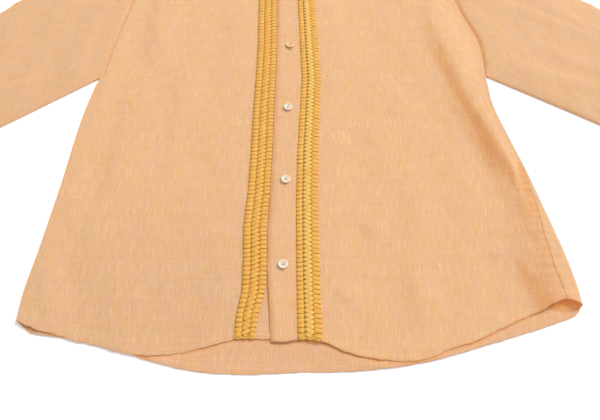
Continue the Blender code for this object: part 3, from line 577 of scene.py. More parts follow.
back_rows, back_painted_light = [], []
for t in row_shares(BACK_RUN):
    width = back.width(t)
    height, half_turn, end, _ = fold_at(RIGHT_FOLD, back.start(t)[0, 1], t)
    first = float(fold_path(height, np.array([end]))[0][0]) / width
    height, half_turn, end, _ = fold_at(LEFT_FOLD, back.finish(t)[0, 1], t)
    runs = np.linspace(-EDGE_FLAT, end, FOLD_COLUMNS)
    turned = fold_spots(runs, height, lambda inset: back.at(1 - inset / width, t),
                        lambda inset: over.at(inset / over.width(t), t))
    if end > half_turn:
        away = end - runs
        settled = ease(half_turn * 0.6, half_turn * 1.3, runs)
        dip = SEAM_DIP * np.exp(-(away / SEAM_DIP_REACH) ** 2)
        turned[:, 2] += settled * (pucker(turned[:, 1], away) - dip)
    last = float(fold_path(height, np.array([-EDGE_FLAT]))[0][0]) / width
    s = np.linspace(first, 1 - last, BACK_COLUMNS + 1)[:-1]
    row = np.column_stack([back.at(s, t), np.full(len(s), BACK_LEVEL)])
    row = np.concatenate([row, turned])
    place = t * BACK_RUN
    row[:, 1] += hem_wander(row[:, 0], 0.7) * (1 - ease(0.0, KINKS_END, place))
    glow = near_hem(row[:, 0], row[:, 1])
    row[:, 2] += hem_lift(place)
    flat_part = np.arange(len(row)) < BACK_COLUMNS
    row[:, 2] += BACK_HELD_UP * flat_part * under_front(row[:, 0], row[:, 1])
    back_rows.append(row)
    # Painted light on the turned part: the hem's painted shade fades round the fold, and a warm shade is
    # painted at the seam
    glow[BACK_COLUMNS:] *= 1 - ease(half_turn * 0.5, half_turn * 0.9, runs)
    if end > half_turn:
        glow[BACK_COLUMNS:] += SEAM_SHADE_PAINT * np.exp(-((end - runs) / SEAM_SHADE_PAINT_REACH) ** 2)
    back_painted_light.append(glow)
grain = panel_grain(back_rows, BACK_COLUMNS // 2)
mesh = shirt_mesh("back_panel", back_rows, grain, painted_light=back_painted_light)
back_panel = dress("back_panel", mesh, linen, ["back"])

# The two fronts
# The wearer's right front lies under the closing and is turned round the left edge of the
# picture. The left front laps over it and climbs to the turned-up back on the right.
UNDER_LEVEL = BACK_LEVEL + CLOTH + GAP
OVER_LEVEL = UNDER_LEVEL + SHELL + GAP
# x at which the left front starts down from the right one, and at which it lies on the back
LAP_END = 0.040
LAP_OVER = 0.072
# Width over which a front comes down from its side fold
ROLL_WIDTH = 0.040
# Columns stand a little closer beside the fold, by this power
FRONT_COLUMNS = 96
COLUMNS_CLOSE = 1.12
FRONT_RUN = 0.68
# Where its seam lies on top, a front's edge is tucked so far under the back's, and so far down
SEAM_TUCK = 0.0009
TUCK_DIP = 0.00018
TUCK_DIP_REACH = 0.0011
# Width beside a side fold over which creases set in, how much that widens beside the left
# armhole, and how much it narrows beside the right one
SETTLE = 0.012
SETTLE_WIDER = 0.016
SETTLE_NARROWER = 0.0115
# The fronts' hems have stronger kinks than the back's, and stand off it up to this height
FRONT_KINKS = 1.8
HEM_LIFT_REACH = 0.022
# The crest on which the right armhole's seam lies
ARMHOLE_RISE = 0.0011
# Painted warm shade: beside the left seam, more at one rumpled place, on the hem's fold, and under
# the placket's free edge
SEAM_SHADE = 0.45
SEAM_SHADE_REACH = 0.013
RUMPLED_MORE = 0.5
RUMPLED_AT = 0.235
RUMPLED_REACH = 0.045
FOLD_SHADE_PAINT = 0.9
FOLD_SHADE_PAINT_REACH = 0.0020
PLACKET_SHADE = 0.55
PLACKET_SHADE_REACH = 0.0040
# The right front is painted in a cool shade up to the first height, and the paint fades out up to the
# second
COOL_SHADE_ENDS = (0.06, 0.26)
# Creases: points of the crest as x, y and share of the height, then the height, and the width
# of its west and of its east side. The shaded west sides are what the eye sees of them.
CREASES = [
    ([(0.195, 0.640, 0.2), (0.196, 0.540, 0.45), (0.199, 0.490, 0.70), (0.208, 0.440, 0.95),
      (0.221, 0.385, 1.0), (0.232, 0.340, 1.0), (0.243, 0.300, 0.90), (0.254, 0.266, 0.60),
      (0.262, 0.240, 0.1)], 0.0064, 0.0190, 0.050),
    ([(0.150, 0.600, 0.1), (0.158, 0.520, 0.6), (0.170, 0.430, 1.0), (0.186, 0.350, 1.0),
      (0.205, 0.285, 0.6), (0.222, 0.230, 0.0)], 0.0004, 0.034, 0.020),
    ([(0.146, 0.640, 0.3), (0.150, 0.590, 1.0), (0.156, 0.520, 0.5), (0.160, 0.470, 0.0)],
     0.0016, 0.010, 0.026),
    ([(0.257, 0.285, 0.0), (0.2635, 0.262, 0.7), (0.262, 0.235, 1.0), (0.263, 0.195, 0.4),
      (0.265, 0.150, 0.0)], 0.0014, 0.006, 0.010),
    ([(0.230, 0.147, 0.0), (0.241, 0.133, 1.0), (0.252, 0.113, 0.9), (0.258, 0.097, 0.0)],
     0.0005, 0.0060, 0.010),
    ([(0.205, 0.152, 0.0), (0.216, 0.138, 1.0), (0.226, 0.121, 0.0)], 0.0006, 0.0045, 0.009),
    ([(0.030, 0.186, 0.0), (0.052, 0.182, 0.9), (0.077, 0.170, 1.0), (0.100, 0.152, 0.0)],
     0.0007, 0.0060, 0.016),
    ([(0.026, 0.100, 0.0), (0.042, 0.091, 1.0), (0.057, 0.076, 0.8), (0.066, 0.058, 0.0)],
     0.0009, 0.0050, 0.012),
    ([(0.094, 0.330, 0.0), (0.101, 0.270, 1.0), (0.099, 0.210, 0.0)], 0.0005, 0.012, 0.022),
    ([(0.132, 0.240, 0.0), (0.140, 0.170, 1.0), (0.152, 0.100, 0.0)], 0.0006, 0.013, 0.024),
    ([(0.060, 0.520, 0.0), (0.066, 0.450, 1.0), (0.062, 0.380, 0.0)], 0.0005, 0.014, 0.022),
    ([(-0.212, 0.640, 0.4), (-0.208, 0.560, 1.0), (-0.204, 0.500, 0.6), (-0.202, 0.440, 0.0)],
     0.0015, 0.012, 0.026),
    ([(-0.226, 0.450, 0.0), (-0.228, 0.390, 0.8), (-0.224, 0.320, 1.0), (-0.228, 0.250, 0.9),
      (-0.236, 0.180, 0.7), (-0.244, 0.110, 0.0)], 0.0013, 0.011, 0.028),
    ([(-0.160, 0.380, 0.0), (-0.1605, 0.330, 1.0), (-0.158, 0.275, 0.8), (-0.156, 0.235, 0.0)],
     0.0007, 0.0055, 0.012),
    ([(-0.176, 0.215, 0.0), (-0.177, 0.180, 1.0), (-0.174, 0.140, 0.0)], 0.0005, 0.0055, 0.011),
    ([(-0.067, 0.112, 0.0), (-0.079, 0.099, 1.0), (-0.096, 0.083, 0.8), (-0.108, 0.068, 0.0)],
     0.0008, 0.0045, 0.010),
    ([(-0.080, 0.330, 0.0), (-0.086, 0.317, 1.0), (-0.104, 0.309, 0.0)], 0.0005, 0.0045, 0.009),
    ([(-0.074, 0.268, 0.0), (-0.090, 0.259, 1.0), (-0.112, 0.247, 0.7), (-0.130, 0.232, 0.0)],
     0.0007, 0.0050, 0.012),
    ([(0.030, 0.292, 0.0), (0.048, 0.287, 1.0), (0.070, 0.274, 0.6), (0.086, 0.262, 0.0)],
     0.0006, 0.0050, 0.012),
    ([(-0.186, 0.110, 0.0), (-0.176, 0.088, 1.0), (-0.168, 0.062, 0.0)], 0.0007, 0.008, 0.016),
    ([(0.120, 0.118, 0.0), (0.128, 0.094, 1.0), (0.132, 0.066, 0.7), (0.134, 0.040, 0.0)],
     0.0007, 0.010, 0.018),
    ([(-0.120, 0.640, 0.5), (-0.118, 0.560, 1.0), (-0.113, 0.480, 0.0)], 0.0008, 0.016, 0.024),
    ([(-0.268, 0.115, 0.0), (-0.272, 0.085, 1.0), (-0.262, 0.058, 0.8), (-0.252, 0.040, 0.2)],
     0.0016, 0.012, 0.020),
    ([(-0.270, 0.398, 0.0), (-0.2672, 0.435, 0.9), (-0.261, 0.485, 1.0), (-0.251, 0.548, 0.8),
      (-0.242, 0.610, 0.4), (-0.238, 0.670, 0.0)], ARMHOLE_RISE, 0.0080, 0.020),
]
CREASES = [(smooth(crest, 5), rise, west, east) for crest, rise, west, east in CREASES]
# How far the hem edge stands off the back: x, height
LEFT_HEM_LIFT = [(-0.035, 0.0), (0.000, 0.0001), (0.018, 0.0003), (0.040, 0.0), (0.060, 0.0003),
                 (0.095, 0.0001), (0.125, 0.0), (0.150, 0.0004), (0.172, 0.0), (0.205, 0.0004),
                 (0.235, 0.0), (0.270, 0.0001)]
RIGHT_HEM_LIFT = [(-0.300, 0.0003), (-0.280, 0.0006), (-0.250, 0.0002), (-0.200, 0.0),
                  (-0.165, 0.0004), (-0.140, 0.0001), (-0.110, 0.0003), (-0.075, 0.0004),
                  (-0.040, 0.0002)]


def creases(x, y):
    """Height of the soft folds of the fronts."""
    x, y = np.broadcast_arrays(x, y)
    total = np.zeros(x.shape)
    for crest, rise, west, east in CREASES:
        # Past this a crease has only a thousandth of its height
        reach = 2.6 * max(west, east)
        low, high = crest[:, :2].min(axis=0) - reach, crest[:, :2].max(axis=0) + reach
        near = (x > low[0]) & (x < high[0]) & (y > low[1]) & (y < high[1])
        if not near.any():
            continue
        start, run = crest[:-1, :2], np.diff(crest[:, :2], axis=0)
        offset = np.stack([x[near], y[near]], -1)[:, None] - start
        place = np.clip((offset * run).sum(2) / (run ** 2).sum(1), 0, 1)
        offset = offset - place[..., None] * run
        away = np.linalg.norm(offset, axis=2)
        best = away.argmin(axis=1)
        pick = np.arange(len(best)), best
        share = crest[:-1, 2][best] + np.diff(crest[:, 2])[best] * place[pick]
        up = run[best] * np.where(run[best, 1] < 0, -1.0, 1.0)[:, None]
        easterly = offset[pick][:, 0] * up[:, 1] - offset[pick][:, 1] * up[:, 0] > 0
        wide = np.where(easterly, east, west)
        total[near] += rise * share * np.exp(-(away[pick] / wide) ** 2)
    return total


def lap_level(x):
    """Level of the left front: over the right one at the closing, then down on the back."""
    return UNDER_LEVEL + (OVER_LEVEL - UNDER_LEVEL) * (1 - ease(LAP_END, LAP_OVER, x))


def placket_edge(y):
    """x of the placket's free edge, at a height up the page."""
    return np.interp(y, [row[0] for row in PLACKET_EDGE], [row[1] for row in PLACKET_EDGE])


def front_height(x, y, lapped):
    """Middle of a front's cloth away from its side fold."""
    level = lap_level(x) if lapped else np.full(np.shape(x), UNDER_LEVEL)
    return level + creases(x, y) + unevenness(x, y)


def front_painted_light(row, place, away, tucked, lapped):
    """Painted warm and cool shade of a row of a front, from how far its points are from the side seam."""
    rumpled = np.exp(-((row[:, 1] - RUMPLED_AT) / RUMPLED_REACH) ** 2)
    rumpled = rumpled * (1 + 0.4 * np.sin(row[:, 1] / 0.0042))
    glow = (SEAM_SHADE + RUMPLED_MORE * rumpled) * np.exp(-(away / SEAM_SHADE_REACH) ** 2) * float(tucked)
    glow = glow + FOLD_SHADE_PAINT * (1 - float(ease(0.0, FOLD_SHADE_PAINT_REACH, place)))
    if not lapped:
        from_placket = row[:, 0] - placket_edge(row[:, 1])
        glow = glow - (1 - ease(*COOL_SHADE_ENDS, row[:, 1]))
        glow = glow + PLACKET_SHADE * np.exp(-(from_placket / PLACKET_SHADE_REACH) ** 2)
    return glow


def front_rows(front, table, lapped, hem_table):
    """One front from its folded side to the closing, row by row from the hem."""
    rows, painted_light = [], []
    for t in row_shares(FRONT_RUN):
        width = front.width(t)
        height, half_turn, _, start = fold_at(table, front.start(t)[0, 1], t)
        tuck = SEAM_TUCK if start > half_turn else 0.0
        start = start - tuck
        runs = np.linspace(start, max(half_turn, start) + EDGE_FLAT / 2, FOLD_COLUMNS)

        def on_back(inset):
            share = inset / back.width(t)
            return back.at(1 - share if lapped else share, t)

        side = fold_spots(runs, height, on_back, lambda inset: front.at(inset / width, t))
        away = runs - start
        if tuck:
            side[:, 2] += pucker(side[:, 1], away) - TUCK_DIP * (1 - ease(0.0, TUCK_DIP_REACH, away))
        first = float(np.linalg.norm(side[-1, :2] - front.start(t)[0])) / width
        s = first + (1 - first) * np.linspace(0, 1, FRONT_COLUMNS + 1)[1:] ** COLUMNS_CLOSE
        plan = front.at(s, t)
        inward = width * (s - first)
        rise = height - CLOTH / 2 - UNDER_LEVEL
        rolled = np.minimum(np.abs(side[-1, 0] - plan[:, 0]) / ROLL_WIDTH, 1)
        z = front_height(plan[:, 0], plan[:, 1], lapped)
        bare = lap_level(plan[:, 0]) if lapped else UNDER_LEVEL
        opening = float(ease(ARM_START - SEAM_OPENS, ARM_START, t))
        settle = SETTLE + SETTLE_WIDER * opening if lapped else SETTLE - SETTLE_NARROWER * opening
        z = bare + (z - bare) * ease(0, settle, inward)
        z = z + rise * 0.5 * (1 + np.cos(math.pi * rolled))
        if tuck:
            z += pucker(plan[:, 1], away[-1] + inward)
        row = np.concatenate([side, np.column_stack([plan, z])])
        place = t * FRONT_RUN
        edge_lift = np.array([column(hem_table, x) for x in row[:, 0]])
        row[:, 1] += FRONT_KINKS * hem_wander(row[:, 0], 1.9) * (1 - ease(0.0, KINKS_END, place))
        row[:, 2] += hem_lift(place) + edge_lift * (1 - ease(0.0, HEM_LIFT_REACH, place))
        rows.append(row)
        from_seam = np.concatenate([away, away[-1] + inward])
        painted_light.append(front_painted_light(row, place, from_seam, tuck > 0, lapped))
    return rows, painted_light


under_rows, glow = front_rows(under, RIGHT_FOLD, False, RIGHT_HEM_LIFT)
mesh = shirt_mesh("right_front", under_rows, panel_grain(under_rows, -1), painted_light=glow)
right_front = dress("right_front", mesh, linen, ["front_right"])
over_rows, glow = front_rows(over, LEFT_FOLD, True, LEFT_HEM_LIFT)
over_rows = [row[::-1] for row in over_rows]
glow = [row[::-1] for row in glow]
mesh = shirt_mesh("left_front", over_rows, panel_grain(over_rows, 0), painted_light=glow)
left_front = dress("left_front", mesh, linen, ["front_left"])

# The placket
# A straight double strip of the same linen, sewn on the edge of the left front. It carries the
# buttonholes and lies over the right front.
PLACKET_THICK = 0.0010
PLACKET_LEVEL = OVER_LEVEL + (SHELL + PLACKET_THICK) / 2 + SEAM_GAP
# x of its other edge, beside the braid, at heights up the page
LEFT_BRAID_EDGE = [(0.033, -0.0022), (0.095, -0.0035), (0.150, -0.0042), (0.210, -0.0045),
                   (0.276, -0.0030), (0.348, 0.0003), (0.400, 0.0028), (0.457, 0.0004),
                   (0.550, -0.0030), (0.645, -0.0026)]
STRIP_ROWS = 260
# Places across the placket: finely divided at its edges. It is stitched at STITCHED_SHARES.
STITCHED_SHARES = (0.083, 0.917)
PLACKET_SHARES = [0.0, 0.010, 0.030, STITCHED_SHARES[0], 0.16, 0.26, 0.38, 0.50, 0.62, 0.74, 0.84,
                  STITCHED_SHARES[1], 0.970, 0.990, 1.0]
NECK_TRIM = 0.0003
# Its free edge bends down to the right front, puffs up a little near the hem, and is painted with a warm
# shade
PLACKET_BEND = 0.00105
PUFF_RISE = 0.0006
PUFF_AT = 0.088
PUFF_REACH = 0.032
PUFF_WIDTH = 0.014
EDGE_SHADE_PAINT = 0.6
EDGE_SHADE_PAINT_REACH = 0.0016


def strip_plan(inner, outer, shares, hem, count):
    """Plan of a strip that runs from the front hem to the neck, its edges given as x at y."""
    rows = []
    hem, neck = smooth(hem), neck_line
    for up in np.linspace(0, 1, count + 1):
        row = []
        for share in shares:
            ends = []
            for line in (hem, neck):
                y = line[len(line) // 2][1]
                x = (1 - share) * inner(y) + share * outer(y)
                ends.append(float(np.interp(x, line[:, 0], line[:, 1])))
            y = ends[0] + (ends[1] - NECK_TRIM - ends[0]) * up
            row.append(((1 - share) * inner(y) + share * outer(y), y))
        rows.append(row)
    return np.array(rows)


def left_braid(y):
    """x of the left band's edge beside the placket."""
    return column(LEFT_BRAID_EDGE, y)


plan = strip_plan(placket_edge, lambda y: left_braid(y) - GAP, PLACKET_SHARES, LEFT_FRONT_HEM,
                  STRIP_ROWS)
z = PLACKET_LEVEL - OVER_LEVEL + front_height(plan[..., 0], plan[..., 1], True)
from_edge = plan[..., 0] - placket_edge(plan[..., 1])
puff = PUFF_RISE * np.exp(-((plan[..., 1] - PUFF_AT) / PUFF_REACH) ** 2)
z += puff * (1 - ease(0.0, PUFF_WIDTH, from_edge))
z -= PLACKET_BEND * (1 - ease(0.0, PLACKET_TURN, from_edge))
placket_rows = np.concatenate([plan, z[..., None]], axis=2)
# Painted warm shade along the placket's free edge
glow = EDGE_SHADE_PAINT * (1 - ease(0.0, EDGE_SHADE_PAINT_REACH, from_edge))
mesh = shirt_mesh("placket_strip", placket_rows, panel_grain(placket_rows, 0), painted_light=glow)
placket = dress("placket_strip", mesh, linen, ["placket"], thick=PLACKET_THICK)

# The braid bands
# Thick mustard cotton yarn, worked into a band of three columns and sewn on each front beside
# the closing. The outer columns are stacked bars that part at their outer ends. The middle
# one is slanting bars on the right front, and a paler flat plait on the left front.
BRAID_WIDTH = 0.0258
BRAID_CLEAR = 0.0006
BRAID_LIFT = 0.0004
GROUND_THICK = 0.0005
# The right front's band is narrower by this share at its hem end, and full from some way up
DRAWN_IN = 0.16
DRAWN_IN_ENDS = (0.036, 0.115)
# The height up the page at which the hem crosses a band, and how far the outermost stitches
# stay from the hem's and the neck's edge
BAND_FOOT = 0.04
HEM_CLEAR = 0.0040
NECK_CLEAR = 0.0030
# Height of a stitch at the lowest hem point, and how much higher it is for each metre up
STITCH_HEIGHT = 0.00525
STITCH_GROWTH = 0.0019
# Middles of the three columns, as shares of the width
COLUMNS_AT = (0.17, 0.50, 0.83)
# A bar of yarn: how it is divided, how full it is at each place, and its half thickness
BAR_SIDES = 10
BAR_ALONG = np.array([0.0, 0.03, 0.10, 0.26, 0.50, 0.74, 0.90, 0.97, 1.0])
BAR_SWELL = np.array([0.45, 0.84, 0.96, 1.0, 1.0, 1.0, 0.96, 0.84, 0.45])
BAR_THICK = 0.00085
PLAIT_THICK = 0.0007
# The lobes at a band's end: half width, drop, how far their yarn turns, half thickness
LOBE_HALF_WIDTH = 0.145 * BRAID_WIDTH
LOBE_DROP = 0.0021
LOBE_TURN = 1.9
LOBE_THICK = 0.0008
# x of the right band's edge beside the placket, at heights up the page
RIGHT_BRAID_EDGE = [(0.036, -0.0444), (0.061, -0.0431), (0.090, -0.0375), (0.123, -0.0370),
                    (0.170, -0.0389), (0.232, -0.0348), (0.300, -0.0327), (0.375, -0.0317),
                    (0.458, -0.0293), (0.550, -0.0340), (0.645, -0.0336)]
# Stray fibre ends lie about 1.3 mm apart on the yarn. The texture counts them for a metre.
FLECKS = 1000 / 1.3


def yarn_material(name, dark, light):
    """Mercerised cotton yarn: fine laid-up strands that catch the light, each bar a little
    different in tone, and a warm glow where light passes through the fibres."""
    made, tree, shader = new_material(name)
    lay = add_node(tree, "ShaderNodeUVMap", uv_map="grain").outputs["UV"]
    strand = add_node(tree, "ShaderNodeVectorMath", {0: lay, 1: (7.0, 1.1, 0.0)}, operation="MULTIPLY")
    strands = add_node(tree, "ShaderNodeTexNoise", {"Vector": strand.outputs[0], "Scale": 1.0,
                                                   "Detail": 2.0})
    tone = add_node(tree, "ShaderNodeMapRange", {"Value": strands.outputs["Fac"], "From Min": 0.3,
                                                "From Max": 0.7})
    colour = add_node(tree, "ShaderNodeMix", {"Factor": tone.outputs["Result"], "A": linear(dark),
                                             "B": linear(light)}, data_type="RGBA")
    fleck = add_node(tree, "ShaderNodeTexNoise", {"Scale": FLECKS, "Detail": 2.0, "Roughness": 0.7})
    deep = add_node(tree, "ShaderNodeMapRange", {"Value": fleck.outputs["Fac"], "From Min": 0.45,
                                                "From Max": 0.70, "To Max": 0.55})
    colour = add_node(tree, "ShaderNodeMix", {"Factor": deep.outputs["Result"], "B": linear("#c08430"),
                                             "A": colour.outputs["Result"]}, data_type="RGBA")
    rough = add_node(tree, "ShaderNodeMath", {0: strands.outputs["Fac"], 1: fleck.outputs["Fac"]},
                     operation="SUBTRACT")
    bump = add_node(tree, "ShaderNodeBump", {"Height": rough.outputs[0], "Strength": 0.6,
                                            "Distance": 0.0004})
    tree.links.new(colour.outputs["Result"], shader.inputs["Base Color"])
    tree.links.new(bump.outputs["Normal"], shader.inputs["Normal"])
    shader.inputs["Roughness"].default_value = 0.6
    shader.inputs["Specular IOR Level"].default_value = 0.35
    shader.inputs["Subsurface Weight"].default_value = 0.35
    shader.inputs["Subsurface Radius"].default_value = (1.0, 0.5, 0.1)
    shader.inputs["Subsurface Scale"].default_value = 0.0015
    shader.inputs["Sheen Weight"].default_value = 0.1
    return made


mustard_yarn = yarn_material("mustard_cotton_yarn", "#d99d38", "#f0ba58")
pale_yarn = yarn_material("pale_mustard_yarn", "#e2ac48", "#f6c56a")

# The ground of the band is the same yarn seen deep between the bars. Its darker brown is painted
# shade for the gaps, with flecks about 1.1 mm apart.
ground_yarn, tree, shader = new_material("yarn_in_the_gaps")
fleck = add_node(tree, "ShaderNodeTexNoise", {"Scale": 900.0, "Detail": 1.0})
shade = add_node(tree, "ShaderNodeMix", {"Factor": fleck.outputs["Fac"], "A": linear("#c0852f"),
                                        "B": linear("#dba347")}, data_type="RGBA")
tree.links.new(shade.outputs["Result"], shader.inputs["Base Color"])
shader.inputs["Roughness"].default_value = 0.9


def bars_mesh(name, bars, sides=BAR_SIDES, places=BAR_ALONG, swell=BAR_SWELL, power=0.44):
    """One mesh of many short yarn bars. A bar is a line of points, its half width at each of
    them or one for all, and its half thickness. Its section is a rounded rectangle."""
    ring = (np.arange(sides) + 0.5) / sides * 2 * math.pi
    flat = np.sign(np.cos(ring)) * np.abs(np.cos(ring)) ** power
    tall = np.sign(np.sin(ring)) * np.abs(np.sin(ring)) ** power
    count = len(places)
    i, j = np.meshgrid(np.arange(count - 1), np.arange(sides), indexing="ij")
    low = (i * sides + j).ravel()
    high = (i * sides + (j + 1) % sides).ravel()
    quads = np.stack([low, high, high + sides, low + sides], 1)
    u, v = (j / sides * 2).ravel(), (i / count).ravel()
    quad_map = np.stack([u, v, u + 2 / sides, v, u + 2 / sides, v + 1 / count, u, v + 1 / count], 1)
    verts, faces, maps = [], [], []
    for number, (line, wide, thick) in enumerate(bars):
        line = np.array(line, float)
        wide = np.interp(places, np.linspace(0, 1, len(line)), np.broadcast_to(wide, len(line)))
        line = along(line, places)
        way = np.gradient(line, axis=0)
        way /= np.linalg.norm(way, axis=1)[:, None]
        side = np.cross([0, 0, 1.0], way)
        side /= np.linalg.norm(side, axis=1)[:, None]
        up = np.cross(way, side)
        spread = (wide * swell)[:, None, None] * flat[None, :, None] * side[:, None, :]
        lift = (thick * swell)[:, None, None] * tall[None, :, None] * up[:, None, :]
        verts.append((line[:, None, :] + spread + lift).reshape(-1, 3))
        base = number * count * sides
        shift = number * 3.7
        faces += (quads + base).tolist()
        maps.append((quad_map + shift).ravel())
        faces.append(list(range(base, base + sides))[::-1])
        faces.append(list(range(base + (count - 1) * sides, base + count * sides)))
        maps.append(np.full(4 * sides, shift))
    points = np.concatenate(verts) - np.array([MIDDLE_X, LENGTH / 2, 0.0])
    mesh = bpy.data.meshes.new(name)
    mesh.from_pydata(points.tolist(), [], faces)
    mesh.uv_layers.new(name="grain").data.foreach_set("uv", np.concatenate(maps).astype(np.float32))
    mesh.shade_smooth()
    return mesh


def band_x(inner, y, across):
    """Where a share of a band's width lies. The right front's band is drawn in at its hem end."""
    drawn_in = DRAWN_IN * (1 - float(ease(*DRAWN_IN_ENDS, y))) if inner is right_braid else 0.0
    return inner(y) + BRAID_WIDTH * (0.5 + (across - 0.5) * (1 - drawn_in))


def band_rows(inner, hem, x_share):
    """Heights up the page of a column's stitches: they lie a little closer near the hem."""
    hem_line = smooth(hem)
    middle = band_x(inner, BAND_FOOT, 0.5)
    own = band_x(inner, BAND_FOOT, x_share)
    low = float(np.interp(middle, hem_line[:, 0], hem_line[:, 1])) + HEM_CLEAR
    skew = float(np.interp(own, hem_line[:, 0], hem_line[:, 1])) - low + HEM_CLEAR
    high = float(np.interp(middle, neck_line[:, 0], neck_line[:, 1])) - NECK_CLEAR
    rows = [low]
    while rows[-1] < high:
        rows.append(rows[-1] + STITCH_HEIGHT + STITCH_GROWTH * rows[-1])
    rows = np.array(rows[:-1])
    return rows + skew * (1 - ease(0.0, 0.05, rows - low))


def band_line(inner, surface, spots, y, half_pitch):
    """A bar's line: across the band as shares of its width, up as shares of half a stitch."""
    line = []
    for across, rise, z in spots:
        at_y = y + rise * half_pitch
        line.append((band_x(inner, at_y, across), at_y, surface + z))
    return line


def outer_bars(inner, surface, hem, side, tilt, reach):
    """One outer column. side is -1 for the west one and 1 for the east one, and reach is the
    share of the band that it takes."""
    rows = band_rows(inner, hem, COLUMNS_AT[0] if side < 0 else COLUMNS_AT[2])
    bars = []
    for y, after in zip(rows, [*rows[1:], 2 * rows[-1] - rows[-2]]):
        half = (after - y) / 2
        stray = draws.normal(0, 0.05, 3)
        spots = [(0.05 * stray[0], 0.0, 0.0006), (0.03, 0.0, 0.0012),
                 (0.50 * reach, 0.4 * tilt, 0.0015), (0.85 * reach, tilt, 0.0013),
                 (reach, 1.2 * tilt, 0.0007)]
        if side > 0:
            spots = [(1 - across, rise, z) for across, rise, z in spots]
        wide = half * np.array([0.84, 0.90, 0.96, 0.99, 0.94]) * (1 + 0.4 * stray[1])
        bars.append((band_line(inner, surface, spots, y + stray[2] * half, half), wide, BAR_THICK))
    return bars


def slanting_bars(inner, surface, hem):
    """The middle column of the right front: bars that rise to the east, half a stitch up."""
    rows = band_rows(inner, hem, COLUMNS_AT[1])
    bars = []
    for y, after in zip(rows, rows[1:]):
        half = (after - y) / 2
        stray = draws.normal(0, 0.05, 2)
        spots = [(0.31, -0.62, 0.0008), (0.40, -0.50, 0.0017), (0.50, -0.10, 0.0014),
                 (0.60, 0.55, 0.0017), (0.69, 0.85, 0.0008)]
        wide = half * np.array([0.72, 0.92, 0.84, 0.92, 0.72]) * (1 + 0.4 * stray[1])
        line = band_line(inner, surface, spots, y + (1 + stray[0]) * half, half)
        bars.append((line, wide, BAR_THICK))
    return bars


def plaited_bars(inner, surface, hem):
    """The middle column of the left front: a flat plait of crossing pairs, in a paler yarn."""
    rows = band_rows(inner, hem, COLUMNS_AT[1])
    bars = []
    for y, after in zip(rows, rows[1:]):
        half = (after - y) / 2
        stray = draws.normal(0, 0.04, 2)
        west = [(0.315, 1.0, 0.0009), (0.37, 0.62, 0.0017), (0.45, 0.10, 0.0021),
                (0.52, -0.45, 0.0016)]
        east = [(0.655, 1.0, 0.0009), (0.60, 0.62, 0.0017), (0.52, 0.10, 0.0021),
                (0.45, -0.45, 0.0016)]
        for spots, start in ((west, y + stray[0] * half), (east, y + (1 + stray[1]) * half)):
            line = band_line(inner, surface, spots, start, half)
            bars.append((line, half * 0.86, PLAIT_THICK))
    return bars


def end_loops(inner, surface, hem, threads):
    """The three rounded lobes in which a band ends at the hem, and loose ends of thread."""
    hem_line = smooth(hem)
    bars = []
    for middle in COLUMNS_AT:
        x = band_x(inner, BAND_FOOT, middle)
        y = float(np.interp(x, hem_line[:, 0], hem_line[:, 1])) + 0.0012
        loop = [(x + LOBE_HALF_WIDTH * math.sin(turn), y + 0.0012 - LOBE_DROP * math.cos(turn),
                 surface + 0.0010) for turn in np.linspace(-LOBE_TURN, LOBE_TURN, 9)]
        filling = [(x + side * 0.002, y + 0.0018, surface + 0.0012) for side in (-1, 1)]
        bars += [(loop, 0.0010, LOBE_THICK), (filling, 0.0012, LOBE_THICK)]
    for number in range(threads):
        share = 0.45 + 0.5 * number / threads
        x = band_x(inner, BAND_FOOT, share)
        y = float(np.interp(x, hem_line[:, 0], hem_line[:, 1]))
        lean = draws.normal(0.1, 0.25)
        long = draws.uniform(0.0015, 0.0042)
        thread = [(x + lean * long * step ** 1.5, y + 0.002 - (long + 0.002) * step,
                   surface + 0.0008 - 0.0009 * step) for step in np.linspace(0, 1, 5)]
        bars.append((thread, 0.00024, 0.00022))
    return bars


def right_braid(y):
    """x of the right band's outer edge. Its other edge stays clear of the placket."""
    return min(column(RIGHT_BRAID_EDGE, y), placket_edge(y) - BRAID_CLEAR) - BRAID_WIDTH


def band_ground(name, inner, lapped, hem):
    """The strip that the bars are worked on, painted darker as the shade of the gaps."""
    plan = strip_plan(lambda y: band_x(inner, y, 0), lambda y: band_x(inner, y, 1),
                      np.linspace(0.02, 0.98, 9), hem, 200)
    z = front_height(plan[..., 0], plan[..., 1], lapped) + 2 * BRAID_LIFT
    rows = np.concatenate([plan, z[..., None]], axis=2)
    mesh = shirt_mesh(name, rows, panel_grain(rows, 0))
    strip = dress(name, mesh, ground_yarn, thick=GROUND_THICK)


on_over = OVER_LEVEL + BRAID_LIFT
on_under = UNDER_LEVEL + BRAID_LIFT
bars = outer_bars(right_braid, on_under, RIGHT_FRONT_HEM, -1, 0.14, 0.30)
bars += outer_bars(right_braid, on_under, RIGHT_FRONT_HEM, 1, -0.10, 0.30)
bars += slanting_bars(right_braid, on_under, RIGHT_FRONT_HEM)
bars += end_loops(right_braid, on_under, RIGHT_FRONT_HEM, 2)
band_right = dress("braid_band_right", bars_mesh("braid_band_right", bars), mustard_yarn,
                   ["braid_right"], thick=0)
bars = outer_bars(left_braid, on_over, LEFT_FRONT_HEM, -1, 0.0, 0.27)
bars += outer_bars(left_braid, on_over, LEFT_FRONT_HEM, 1, 0.42, 0.345)
bars += end_loops(left_braid, on_over, LEFT_FRONT_HEM, 11)
band_left = dress("braid_band_left", bars_mesh("braid_band_left", bars), mustard_yarn,
                  ["braid_left"], thick=0)
mesh = bars_mesh("braid_plait_left", plaited_bars(left_braid, on_over, LEFT_FRONT_HEM))
plait = dress("braid_plait_left", mesh, pale_yarn, thick=0)
band_ground("braid_ground_right", right_braid, False, RIGHT_FRONT_HEM)
band_ground("braid_ground_left", left_braid, True, LEFT_FRONT_HEM)

